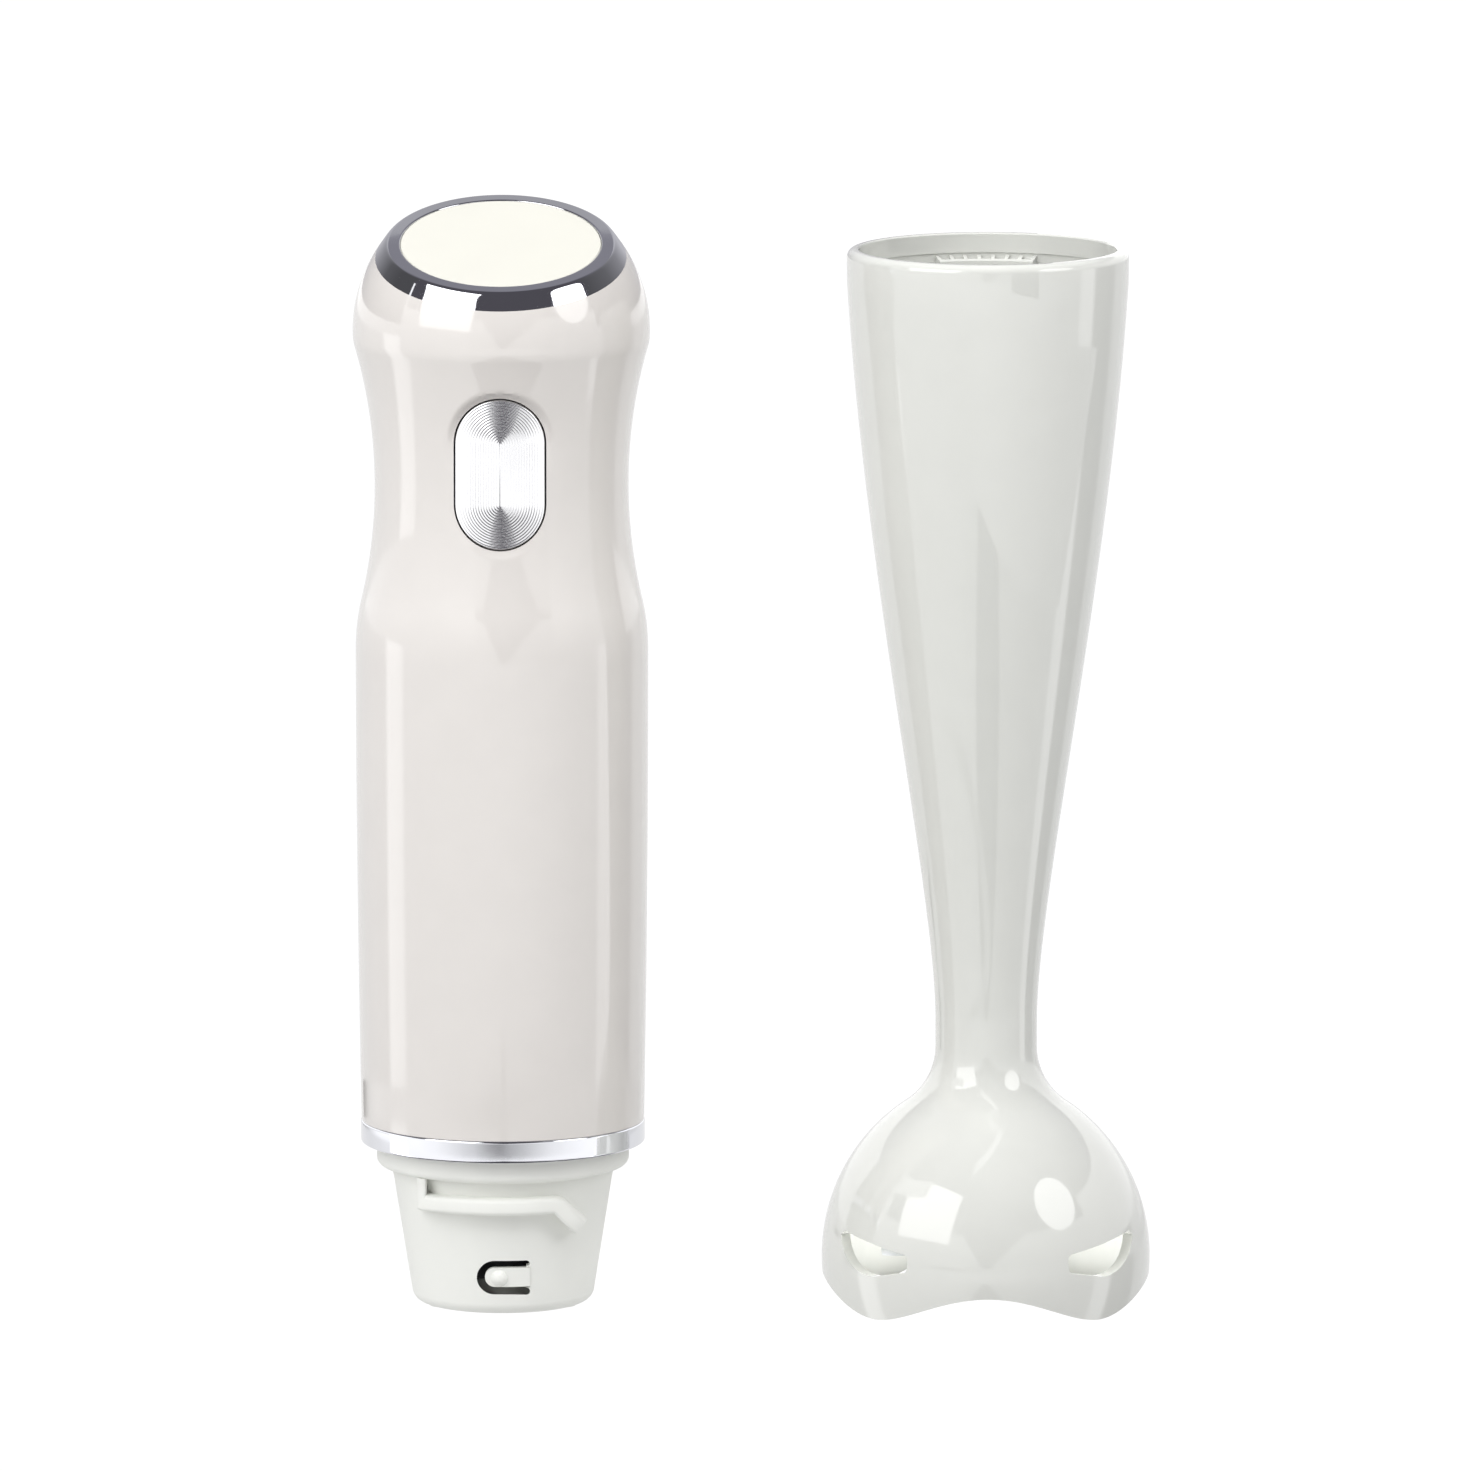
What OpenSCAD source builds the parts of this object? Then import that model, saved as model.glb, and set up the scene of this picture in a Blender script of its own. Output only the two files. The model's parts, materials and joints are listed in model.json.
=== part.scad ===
// Immersion blender: a corded handset, and the blending foot taken off it and stood beside it.
// Both stand upright on the plane z = 0. The front, where the button is, faces -Y.
// The foot's mouth slides over the handset's collar and is locked by a short turn.

/* [Layout] */
// Distance between the handset's axis and the foot's axis
axis_spacing = 97; // [80:1:140]

/* [Grip] */
// Largest radius of the barrel
grip_r = 29.3; // [28:0.1:36]
// How much the barrel narrows towards its lower end
grip_taper = 0.9; // [0:0.1:2]
// Wall thickness of the grip
grip_wall = 2.5; // [1.8:0.1:3]
// Height of the centre of the ball shoulder
shoulder_z = 196.4; // [185:0.1:240]
// How far the ball shoulder stands proud of the barrel
shoulder_proud = 0.4; // [0.2:0.1:1]
// Distance of the waist's narrowest point below the shoulder's centre
waist_drop = 30.9; // [28:0.1:36]
// Depth of the waist
waist_depth = 3.9; // [3:0.1:4.5]
// Radius of the hollow curve of the waist
waist_arc = 100; // [90:1:120]
// Radius of the round between the barrel and the waist
barrel_arc = 44; // [20:1:60]
// Radius of the round between the waist and the shoulder
crease_arc = 8; // [5:0.5:10]

/* [Top] */
// Tilt of the top towards the front, in degrees
top_tilt = 18.2; // [8:0.1:22]
// Distance of the chrome ring's seat from the shoulder's centre
top_seat = 16; // [14:0.1:18]
// Height of the chrome ring above its seat
ring_rise = 3.2; // [1.6:0.1:3.6]
// Width of the rounded edge of the chrome ring
ring_bevel = 2.6; // [2:0.1:4.4]
// Width of the flat land of the chrome ring
ring_land = 2.4; // [0.8:0.1:2.8]

/* [Button] */
// Width of the button
button_w = 17.8; // [14:0.1:22]
// Length of the button
button_h = 30; // [24:0.1:37]
// Height of the button's centre above the waist's narrowest point
button_rise = 5.2; // [0:0.1:8]
// Travel of the button
button_travel = 1.5; // [0.8:0.1:1.8]
// Gap all round the button
button_gap = 0.3; // [0.2:0.05:0.5]
// Width of the dished border round the button
button_dish = 1.6; // [0.8:0.1:2]

/* [Collar] */
// Height of the collar's cone, from the end face to the step
cone_h = 27.8; // [24:0.1:34]
// Draft of the cone, in degrees
cone_draft = 8.2; // [5:0.1:10]
// Height of the step above the cone
step_h = 4.8; // [4:0.1:7]
// Inset of the step from the barrel
step_inset = 4; // [3.4:0.1:5]
// Inset of the cone from the step
cone_inset = 3; // [2.4:0.1:3.6]
// Wall thickness of the collar
collar_wall = 2; // [1.5:0.1:2.4]
// Height of the chrome trim ring
trim_h = 4.5; // [3:0.1:6]
// How far a bayonet rib stands proud of the cone's upper end
rib_proud = 2.6; // [2:0.1:2.9]
// Thickness of a bayonet rib
rib_t = 3.3; // [2.4:0.1:4]
// Radial gap between the collar's step and the foot's mouth
socket_gap = 0.4; // [0.1:0.05:0.5]

/* [Detent tab] */
// Height of the detent tab's centre above the end face
tab_z = 7.9; // [7:0.1:10]
// Height of the window around the tab
tab_window_h = 6.9; // [6:0.1:8]
// Width of the slot around the tab
tab_slot = 1.5; // [0.8:0.1:1.5]
// Gap at the tab's root
tab_root_gap = 0.12; // [0.1:0.01:0.2]

/* [Motor] */
// Length of the motor can
motor_len = 51; // [45:1:60]
// Radius of the motor shaft
motor_shaft_r = 2.5; // [2:0.1:3]
// Radius of the commutator
commutator_r = 5.5; // [5:0.1:6.5]
// Air gap between the armature and the magnets
air_gap = 0.5; // [0.3:0.1:0.8]

/* [Foot] */
// Height of the foot
foot_h = 212.8; // [180:0.1:256]
// Wall thickness of the foot
foot_wall = 2.4; // [1.8:0.1:3]
// Radius of the neck, the narrowest place of the stem
neck_r = 10.2; // [9.6:0.1:12.5]
// Height of the neck
neck_z = 57; // [54:0.1:64]
// Largest radius of the bell
bell_r = 33; // [30:0.1:40]
// Radius of the bell's domed curve
bell_arc = 37.5; // [35:0.1:42]
// Radius of the hollow curve between the neck and the bell
neck_arc = 14; // [10:0.5:15]
// Height of the four arches in the bell's rim
arch_h = 5.9; // [3:0.1:7]
// Radius of the four arches
arch_arc = 33.5; // [28:0.5:40]
// Width of a bayonet lug in the foot's mouth
lug_w = 19.4; // [14:0.1:20]
// Depth of the lug's top below the mouth's rim
lug_drop = 5.1; // [4.9:0.1:6]
// Thickness of the lug
lug_t = 2.5; // [1.8:0.1:2.6]

/* [Foot drive] */
// Radius of the drive shaft
drive_shaft_r = 3; // [2.5:0.1:3.5]
// Outer radius of the bearing tube
tube_r = 6.5; // [6:0.1:7]
// Radius that the blade sweeps
blade_r = 22; // [16:0.5:25]
// Height of the blade above the floor
blade_z = 10.5; // [9.5:0.1:14]

/* [Fits] */
// Radial running clearance of a shaft in its bearing
running_gap = 0.03; // [0.02:0.01:0.06]
// Clearance between pieces that are put together and stay so
seat_gap = 0.05; // [0.02:0.01:0.1]
// Clearance around the inner carriers
case_gap = 0.5; // [0.3:0.1:1]
// Distance that moving pieces keep from fixed ones
moving_gap = 0.8; // [0.5:0.1:1]

/* [Screws] */
// Radius of the screws' shanks
screw_r = 1.25; // [1:0.05:1.5]
// Radius of the screws' heads
screw_head_r = 2.4; // [2:0.1:2.6]

/* [Hidden] */
$fn = 96;
eps = 0.01;

// Outer radii, and where the two axes stand so that the origin is under the middle of the whole
shoulder_r = grip_r + shoulder_proud;
handset_x = -(axis_spacing + bell_r - shoulder_r) / 2;
foot_x = handset_x + axis_spacing;

// Grip: heights of the waist, and the tangent points of its arcs
step_top = cone_h + step_h;
grip_z0 = step_top + trim_h;
waist_z = shoulder_z - waist_drop;
waist_r = grip_r - waist_depth;
arc_sum = barrel_arc + waist_arc;
arc_reach = arc_sum - waist_depth;
barrel_top_z = waist_z - sqrt(arc_sum * arc_sum - arc_reach * arc_reach);
waist_angle = atan2(waist_z - barrel_top_z, arc_reach);
waist_c = [waist_r + waist_arc, waist_z];
shoulder_c = [0, shoulder_z];
crease_c = meet(shoulder_c, shoulder_r - crease_arc, waist_c, waist_arc + crease_arc);
crease_low = atan2(waist_c[1] - crease_c[1], waist_c[0] - crease_c[0]);
crease_high = atan2(crease_c[1] - shoulder_c[1], crease_c[0] - shoulder_c[0]);

// Top: radii in the tilted plane of the ring
seat_r = sqrt(shoulder_r * shoulder_r - top_seat * top_seat);
ring_top_r = seat_r - ring_bevel;
cap_r = ring_top_r - ring_land;
inner_shoulder_r = shoulder_r - grip_wall;
mouth_top_r = sqrt(inner_shoulder_r * inner_shoulder_r - top_seat * top_seat);
ring_skirt_h = 3;
cap_seat = 0.8;
cap_ledge = 1.5;

// Collar: radii of the cone, the step and the neck that goes up into the grip
step_r = grip_r - step_inset;
cone_top_r = step_r - cone_inset;
cone_end_r = cone_r(0);
end_round = 2.7;
step_round = 1.5;
collar_neck_r = step_r - 1.9;
collar_neck_top = step_top + 8.4;
collar_floor = 2.2;
dog_hole_r = 10;
rib_r = cone_top_r + rib_proud;
rib_top = cone_h - 3.2;
rib_left = -15;
rib_right = 10.6;
stop_w = 2;
ramp_x = 6.4;
ramp_drop = 5.3;
ramp_end = 2.6;
screw_circle = 13.1;
screw_angles = [90, 210, 330];
pad_r = 3.3;
pad_top = 6;
trim_r = grip_r - grip_taper + 0.1;

// Detent tab, in the front view
tab_left_x = -1.45;
tab_root_x = 5.7;
tab_h = tab_window_h - 2 * tab_slot;
bump_x = -0.5;
bump_r = 1.9;
bump_proud = 1;

// Carriers inside the grip: everything passes through the waist
carrier_r = waist_r - grip_wall - case_gap;
carrier_wall = 1.8;
carrier_z0 = collar_neck_top + seat_gap;
carrier_plate = 2.8;
bearing_r = 5;
hub_r = 8;
damper_t = 1.6;
motor_r = carrier_r - carrier_wall - damper_t;
can_wall = 1.8;
can_z0 = carrier_z0 + carrier_plate + 3;
can_z1 = can_z0 + motor_len;
magnet_t = 3.6;
magnet_r0 = motor_r - can_wall - magnet_t;
magnet_z0 = can_z0 + 5;
magnet_z1 = can_z1 - 12;
armature_r = magnet_r0 - air_gap;
core_z0 = magnet_z0 + 2;
core_z1 = magnet_z1 - 4;
coil_end = 4.5;
commutator_z0 = core_z1 + coil_end + 1.5;
commutator_z1 = commutator_z0 + 7.5;
bell_plate = 3;
bell_hub_top = can_z1 + 8;
brush_w = 5;
brush_h = 5.5;
holder_wall = 1.2;
vent_r = 2.2;
brush_z = (commutator_z0 + commutator_z1) / 2;
brush_out = motor_r - can_wall - 4;
fan_z0 = bell_hub_top + 2;
fan_h = 9;
fan_r = carrier_r - carrier_wall - 1.4;
fan_blades = 9;
carrier_z1 = fan_z0 + fan_h + 2;
dog_z0 = 3;
dog_z1 = 20;
dog_r = 8;
dog_teeth = 6;
dog_tooth_w = 1.8;
dog_tooth_r = 5.6;
dog_core_r = 3.9;
dog_play = 0.3;

// Switch gear: every depth is taken from the button's face, inwards
button_z = waist_z + button_rise;
button_r = button_w / 2;
button_half = (button_h - button_w) / 2;
button_face = -(waist_c[0] - sqrt(waist_arc * waist_arc - button_rise * button_rise));
button_front_r = -button_face;
frame_w = 1.6;
frame_back = button_face + 4.2;
cap_t = 1.6;
flange_y = button_face + 5.4;
flange_t = 1.5;
flange_lip = 1.2;
slider_wall = 1.5;
web_y = button_face + cap_t + 2.4;
spring_seat_r = 4.8;
stem_r = 2.2;
guide_y = flange_y + flange_t + 5.2;
guide_t = 1.5;
guide_h = 20;
stem_tip = guide_y + guide_t + 0.4;
switch_y = stem_tip + 0.1 + button_travel + 0.1;
switch_depth = 8;
switch_w = 10;
switch_h = 16;
plunger_r = 1.3;
plunger_len = 2.6;
board_y = switch_y + switch_depth + 6;
board_t = 1.6;
board_w = 30;
spine_t = 2;
spine_y = board_y + board_t;
board_z0 = carrier_z1 + 7;
board_z1 = button_z + 20;
arm_t = 1.8;
arm_x = board_w / 2 + 0.2;
carrier_ring = 3;

// Cable bush, at the back of the shoulder
bush_z = shoulder_z + 3;
bush_hole_r = 3.3;
bush_r = 5;
bush_flange_r = 6.6;
bush_back = sqrt(shoulder_r * shoulder_r - 9);
bush_out = bush_back + 2;
bush_in = bush_back - grip_wall - 3;
lead_r = 0.9;
spring_r = 3.4;
spring_wire = 0.35;
spring_turns = 4;
spring_steps = 14;

// Foot: radii of the mouth and of the stem
mouth_r = step_r + socket_gap;
rim_r = mouth_r + foot_wall;
lip_h = 6.8;
lip_round = 1;
bell_widest_z = 9;
bell_c = [bell_r - bell_arc, bell_widest_z];
neck_c = [
    neck_r + neck_arc,
    bell_widest_z + sqrt(pow(bell_arc + neck_arc, 2) - pow(neck_r + neck_arc - bell_c[0], 2))
];
bell_angle = atan2(neck_c[1] - bell_c[1], neck_c[0] - bell_c[0]);
rim_tuck = 0.4;
stem_pull = 25;
stem_lean = 60;
stem_slope = 0.06;
stem_in_z = neck_z + 8;
dock_z = foot_h - step_top;
lock_turn = 18;
liner_gap = 0.4;
liner_wall = 1.6;
liner_h = 15;
liner_floor = 2;
liner_z0 = dock_z - liner_gap - liner_floor;
liner_flange_r = stem_radius_at(liner_z0) - foot_wall - 0.15;
lug_r = mouth_r - 2.1;
mouth_land = 4;
mouth_relief = 0.3;
lug_half = asin(lug_w / 2 / (lug_r + 1));
gussets = 8;
gusset_w = 0.7;
gusset_rise = 0.9;
boss_r = 9;
boss_z0 = 22;
tube_wall = 1.5;
tube_z0 = boss_z0 + 4;
tube_z1 = liner_z0;
bush_len = 12;
slot_c = [0.2, 20.4];
slot_arc = 11.5;
slot_tip = [9.3, 16.8];
slot_end = -8.9;
slot_low = 9.7;
slot_high = 14.2;
slot_round = 1.3;
nut_h = 4;
nut_r = 4.2;
washer_r = 5;
washer_t = 0.8;
thread_r = 2.2;
blade_t = 1.5;
blade_hub_r = 6.5;
wing_root = 5.4;
wing_half = 5;
wing_bends = [-16, 7];
driven_z0 = dock_z - 1.2;
driven_z1 = dock_z + 9.8;

// Where two circles meet: the meeting point above the line between their centres
function meet(c0, r0, c1, r1) = let(
    d = norm(c1 - c0),
    a = (d * d + r0 * r0 - r1 * r1) / (2 * d),
    h = sqrt(max(0, r0 * r0 - a * a)),
    u = (c1 - c0) / d
) c0 + a * u + h * [-u[1], u[0]];

function arc(c, r, a0, a1, n = 8) = [
    for (i = [0:n]) let(a = a0 + (a1 - a0) * i / n) c + r * [cos(a), sin(a)]
];

function bezier(p, n = 8) = [
    for (i = [0:n]) let(t = i / n, s = 1 - t)
        s * s * s * p[0] + 3 * s * s * t * p[1] + 3 * s * t * t * p[2] + t * t * t * p[3]
];

function cone_r(z) = cone_top_r - (cone_h - z) * tan(cone_draft);

// Outline of the grip, from the barrel's lower end to the pole of the shoulder, moved in by a wall
function grip_outline(inset) = concat(
    [for (i = [0:4]) let(u = 1 - i / 4)
        [grip_r - grip_taper * u * u - inset, barrel_top_z - u * (barrel_top_z - grip_z0)]],
    arc([grip_r - barrel_arc, barrel_top_z], barrel_arc - inset, waist_angle / 4, waist_angle, 3),
    arc(waist_c, waist_arc + inset, 180 + waist_angle * 0.8, 180 + crease_low, 14),
    arc(crease_c, crease_arc - inset, crease_low / 2, crease_high, 2),
    arc(shoulder_c, shoulder_r - inset, crease_high + 4, 90, 20)
);

// Outline of the stem from the neck to the rim of the mouth, moved in by a wall
function stem_outline(inset) = bezier([
    [neck_r - inset, neck_z],
    [neck_r - inset, neck_z + stem_pull],
    [rim_r - stem_slope * stem_lean - inset, foot_h - lip_h - stem_lean],
    [rim_r - inset, foot_h - lip_h]
], 20);

// Outline of the bell from its rim to the neck, moved in by a wall
function bell_outline(inset, top_angle) = concat(
    [[bell_r - rim_tuck - inset, 0]],
    arc(bell_c, bell_arc - inset, 0, top_angle, 14)
);

// Rings of a round wire that follows a path, each ring square to the path
function wire_ring(p, way, r, sides) = let(
    w = way / norm(way),
    side = abs(w[2]) > 0.9 ? cross(w, [1, 0, 0]) : cross(w, [0, 0, 1]),
    u = side / norm(side),
    v = cross(w, u)
) [for (k = [0:sides - 1]) p + r * (cos(360 * k / sides) * u + sin(360 * k / sides) * v)];

module wire(path, r, sides = 8) {
    n = len(path);
    rings = [for (i = [0:n - 1])
        each wire_ring(path[i], path[min(i + 1, n - 1)] - path[max(i - 1, 0)], r, sides)];
    walls = [for (i = [0:n - 2], k = [0:sides - 1])
        let(a = i * sides + k, b = i * sides + (k + 1) % sides) [a, b, b + sides, a + sides]];
    ends = [[for (k = [sides - 1:-1:0]) k], [for (k = [0:sides - 1]) (n - 1) * sides + k]];
    polyhedron(points = rings, faces = concat(walls, ends), convexity = 10);
}

module at_handset() translate([handset_x, 0, 0]) children();
module at_foot() translate([foot_x, 0, 0]) children();
module at_top() at_handset() translate([0, 0, shoulder_z]) rotate([top_tilt, 0, 0])
    translate([0, 0, top_seat]) children();

module tube(r_out, r_in, z0, z1) {
    translate([0, 0, z0]) difference() {
        cylinder(r = r_out, h = z1 - z0);
        translate([0, 0, -1]) cylinder(r = r_in, h = z1 - z0 + 2);
    }
}

module disc(r, z0, z1) translate([0, 0, z0]) cylinder(r = r, h = z1 - z0);

// A flat shape drawn in the front view, X across and Z up, that runs from y0 back to y1
module front_prism(y0, y1) translate([0, y1, 0]) rotate([90, 0, 0]) linear_extrude(y1 - y0) children();

module stadium(r, half) {
    translate([0, half]) circle(r);
    translate([0, -half]) circle(r);
    translate([-r, -half]) square([2 * r, 2 * half]);
}

// ---- Handset, outside ----

module grip_solid() rotate_extrude() polygon(concat([[0, grip_z0]], grip_outline(0)));

module grip_hollow() rotate_extrude() polygon(concat(
    [[0, grip_z0 - 1], [grip_r - grip_taper - grip_wall, grip_z0 - 1]],
    grip_outline(grip_wall)
));

module button_prism(border, y0, y1) translate([0, 0, button_z]) front_prism(y0, y1)
    stadium(button_r + border, button_half);

// The grip with the frame that the button slides in, the dish in front of it and the tilted top opening
module grip_shell() color("#E6E3DF") difference() {
    at_handset() difference() {
        union() {
            difference() {
                grip_solid();
                grip_hollow();
            }
            intersection() {
                grip_solid();
                button_prism(button_gap + button_dish + frame_w, -grip_r - 1, frame_back);
            }
        }
        difference() {
            button_prism(button_gap + button_dish, -grip_r - 1, button_face / 2);
            disc(button_front_r, 0, shoulder_z);
        }
        button_prism(button_gap, -grip_r - 1, button_face / 2);
        translate([0, 0, bush_z]) rotate([-90, 0, 0]) disc(bush_r + seat_gap, grip_r / 2, shoulder_r + 1);
    }
    at_top() translate([-shoulder_r, -shoulder_r, 0]) cube(2 * shoulder_r);
}

module top_ring() color("#C9CCD4") at_top() rotate_extrude() polygon(concat(
    [[cap_r - cap_ledge, -ring_skirt_h]],
    [[mouth_top_r - seat_gap, -ring_skirt_h], [mouth_top_r - seat_gap, 0]],
    bezier([[seat_r, 0], [seat_r - ring_bevel * 0.55, ring_rise * 0.7],
        [seat_r - ring_bevel * 0.75, ring_rise], [ring_top_r, ring_rise]], 6),
    [[cap_r + seat_gap, ring_rise], [cap_r + seat_gap, cap_seat], [cap_r - cap_ledge, cap_seat]]
));

module top_cap() color("#FBF9EF") at_top() rotate_extrude() polygon([
    [0, cap_seat], [cap_r - cap_ledge - 1.4, cap_seat], [cap_r - cap_ledge - 1.4, -ring_skirt_h],
    [cap_r - cap_ledge - seat_gap, -ring_skirt_h], [cap_r - cap_ledge - seat_gap, cap_seat],
    [cap_r, cap_seat], [cap_r, ring_rise - 0.3], [cap_r - 0.2, ring_rise - 0.1], [0, ring_rise - 0.1]
]);

module trim_ring() color("#C9CCD4") at_handset() rotate_extrude() polygon([
    [collar_neck_r + seat_gap, step_top], [trim_r - 0.3, step_top], [trim_r, step_top + 0.3],
    [trim_r, grip_z0 - 0.3], [trim_r - 0.3, grip_z0], [collar_neck_r + seat_gap, grip_z0]
]);

module cone_shell(wall) rotate_extrude() polygon([
    [cone_end_r, 0], [cone_top_r, cone_h], [cone_top_r - wall, cone_h], [cone_end_r - wall, 0]
]);

// The hooked rib as it is seen from the front: stop, level rib and lead-in ramp
module rib_outline() {
    translate([rib_left - stop_w, rib_top - rib_t]) square([stop_w, cone_h - rib_top + rib_t + eps]);
    translate([rib_left - eps, rib_top - rib_t]) square([rib_right - rib_left, rib_t]);
    polygon([
        [rib_right - 1, rib_top - rib_t], [rib_right - 1, rib_top], [rib_right, rib_top],
        [rib_right + ramp_x, rib_top - ramp_drop],
        [rib_right + ramp_x - ramp_end, rib_top - ramp_drop - rib_t * 0.9]
    ]);
}

module rib() intersection() {
    front_prism(-rib_r - 1, -5) rib_outline();
    rotate_extrude() polygon([
        [cone_r(rib_top - 12) - 0.5, rib_top - 12], [rib_r, rib_top - 12],
        [rib_r, cone_h + 0.5], [cone_top_r - 0.5, cone_h + 0.5]
    ]);
}

module tab_outline(r, root_x) {
    translate([tab_left_x, tab_z]) circle(r);
    translate([tab_left_x, tab_z - r]) square([root_x - tab_left_x, 2 * r]);
}

module collar_profile() polygon(concat(
    [[dog_hole_r, 0]],
    arc([cone_end_r - end_round, end_round], end_round, -90, -cone_draft, 6),
    [[cone_top_r, cone_h]],
    arc([step_r - step_round, cone_h + step_round], step_round, -90, 0, 4),
    [[step_r, step_top], [collar_neck_r, step_top], [collar_neck_r, collar_neck_top]],
    [[collar_neck_r - collar_wall, collar_neck_top], [collar_neck_r - collar_wall, step_top - 1]],
    [[cone_top_r - collar_wall, cone_h], [cone_r(collar_floor) - collar_wall, collar_floor]],
    [[dog_hole_r, collar_floor]]
));

module collar() color("#EEF0EC") at_handset() difference() {
    union() {
        rotate_extrude() collar_profile();
        rib();
        rotate(180) rib();
        for (a = screw_angles) rotate(a) translate([screw_circle, 0, 0]) disc(pad_r, eps, pad_top);
    }
    for (turn = [0, 180]) rotate(turn) front_prism(-cone_top_r - 4, -cone_end_r / 2)
        tab_outline(tab_window_h / 2, tab_root_x);
    for (a = screw_angles) rotate(a) translate([screw_circle, 0, 0]) {
        disc(screw_r + seat_gap, -1, pad_top + 1);
        disc(screw_head_r + seat_gap, -1, pad_top / 2);
    }
}

module screw(z_under_head, z_tip) {
    disc(screw_r, z_under_head - 0.4, z_tip);
    difference() {
        disc(screw_head_r, z_under_head - 1.6, z_under_head);
        translate([-screw_head_r * 0.7, -0.4, z_under_head - 2]) cube([screw_head_r * 1.4, 0.8, 1.2]);
        translate([-0.4, -screw_head_r * 0.7, z_under_head - 2]) cube([0.8, screw_head_r * 1.4, 1.2]);
    }
}

module collar_screws() color("#B8BCC2") at_handset()
    for (a = screw_angles) rotate(a) translate([screw_circle, 0, 0]) screw(pad_top / 2, pad_top + 14);

module detent_tab() {
    intersection() {
        cone_shell(collar_wall);
        front_prism(-cone_top_r, -cone_end_r / 2) tab_outline(tab_h / 2, tab_root_x - tab_root_gap);
    }
    translate([bump_x, -cone_r(tab_z) + bump_r - bump_proud, tab_z]) sphere(bump_r);
}

module detent_tab_front() color("#EEF0EC") at_handset() detent_tab();
module detent_tab_rear() color("#EEF0EC") at_handset() rotate(180) detent_tab();

module cable_bush() color("#D9D8D4") at_handset() translate([0, 0, bush_z]) rotate([-90, 0, 0]) difference() {
    union() {
        disc(bush_flange_r, shoulder_r, bush_out);
        disc(bush_r, bush_in, bush_out - 0.5);
        disc(bush_r + 1, bush_in, bush_in + 1.2);
    }
    disc(bush_hole_r, bush_in - 1, bush_out + 1);
}

// ---- Button and switch ----

module button_cap() color("#B9BBBE") at_handset() intersection() {
    button_prism(0, -grip_r, button_face + cap_t + 3);
    tube(button_front_r, button_front_r - cap_t, 0, shoulder_z);
}

module button_slider() color("#8D9094") at_handset() {
    difference() {
        union() {
            intersection() {
                button_prism(0, -grip_r, flange_y + flange_t / 2);
                disc(button_front_r - cap_t, 0, shoulder_z);
            }
            button_prism(flange_lip, flange_y, flange_y + flange_t);
        }
        button_prism(-slider_wall, web_y, flange_y + flange_t + 1);
    }
    translate([0, web_y - 0.5, button_z]) rotate([-90, 0, 0]) {
        cylinder(r = stem_r, h = stem_tip - web_y + 0.5);
        cylinder(r = spring_seat_r, h = flange_y + flange_t - web_y + 0.5);
    }
}

module button_spring() {
    y0 = flange_y + flange_t + spring_wire + seat_gap;
    y1 = guide_y - spring_wire - seat_gap;
    n = spring_turns * spring_steps;
    color("#A7A9AC") at_handset() translate([0, 0, button_z]) wire([
        for (i = [0:n]) let(a = 360 * i / spring_steps)
            [spring_r * cos(a), y0 + (y1 - y0) * i / n, spring_r * sin(a)]
    ], spring_wire);
}

module board_screw_places(y) for (side = [-1, 1])
    translate([side * (board_w / 2 - 3), y, board_z1 - 4]) rotate([-90, 0, 0]) children();

module switch_carrier() color("#3A3C40") at_handset() difference() {
    union() {
        tube(carrier_r, carrier_r - 4, carrier_z1 + seat_gap, carrier_z1 + carrier_ring);
        translate([-arm_x - 1, spine_y + seat_gap, carrier_z1 + 1])
            cube([2 * arm_x + 2, spine_t, board_z1 - carrier_z1]);
        for (side = [0, 1]) mirror([side, 0, 0]) translate([arm_x, guide_y, button_z - guide_h / 2])
            cube([arm_t, spine_y + spine_t - guide_y, guide_h]);
        translate([-arm_x - arm_t, guide_y, button_z - guide_h / 2])
            cube([2 * (arm_x + arm_t), guide_t, guide_h]);
        translate([-6, spine_y, carrier_z1 + 1]) cube([12, carrier_r - 3 - spine_y, 2]);
    }
    translate([0, guide_y - 1, button_z]) rotate([-90, 0, 0]) cylinder(r = stem_r + 0.3, h = guide_t + 2);
    board_screw_places(spine_y - 1) cylinder(r = screw_r + seat_gap, h = spine_t + 4);
}

module microswitch() color("#24262A") at_handset() translate([0, 0, button_z]) difference() {
    union() {
        translate([-switch_w / 2, switch_y, -switch_h / 2]) cube([switch_w, switch_depth, switch_h]);
        for (z = [-5, 0, 5]) translate([-1.5, switch_y + switch_depth - 1, z - 0.4])
            cube([3, board_y - switch_y - switch_depth + 1 - seat_gap, 0.8]);
    }
    translate([0, switch_y - 1, 0]) rotate([-90, 0, 0])
        cylinder(r = plunger_r + seat_gap, h = plunger_len + button_travel + 1.5);
}

module switch_plunger() color("#C23B2E") at_handset()
    translate([0, stem_tip + 0.1, button_z]) rotate([-90, 0, 0])
    cylinder(r = plunger_r, h = plunger_len);

module circuit_board() color("#2F6B3C") at_handset() difference() {
    translate([-board_w / 2, board_y, board_z0]) cube([board_w, board_t, board_z1 - board_z0]);
    board_screw_places(board_y - 1) cylinder(r = screw_r + seat_gap, h = board_t + 2);
}

// Suppression capacitor, rectifier bridge, fuse and choke, on the front of the board
module board_parts() color("#3C5E9E") at_handset() {
    translate([-12, board_y - 7, board_z0 + 4]) cube([10, 7 - seat_gap, 12]);
    translate([2, board_y - 4, board_z0 + 3]) cube([11, 4 - seat_gap, 9]);
    translate([7.5, board_y - 4, board_z0 + 16]) cylinder(r = 3, h = 9);
    translate([-10, board_y - 2.4, board_z1 - 8]) rotate([0, 90, 0]) cylinder(r = 2.2, h = 14);
}

module board_screws() color("#B8BCC2") at_handset()
    board_screw_places(0) screw(board_y - seat_gap, spine_y + spine_t + 1);

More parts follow.
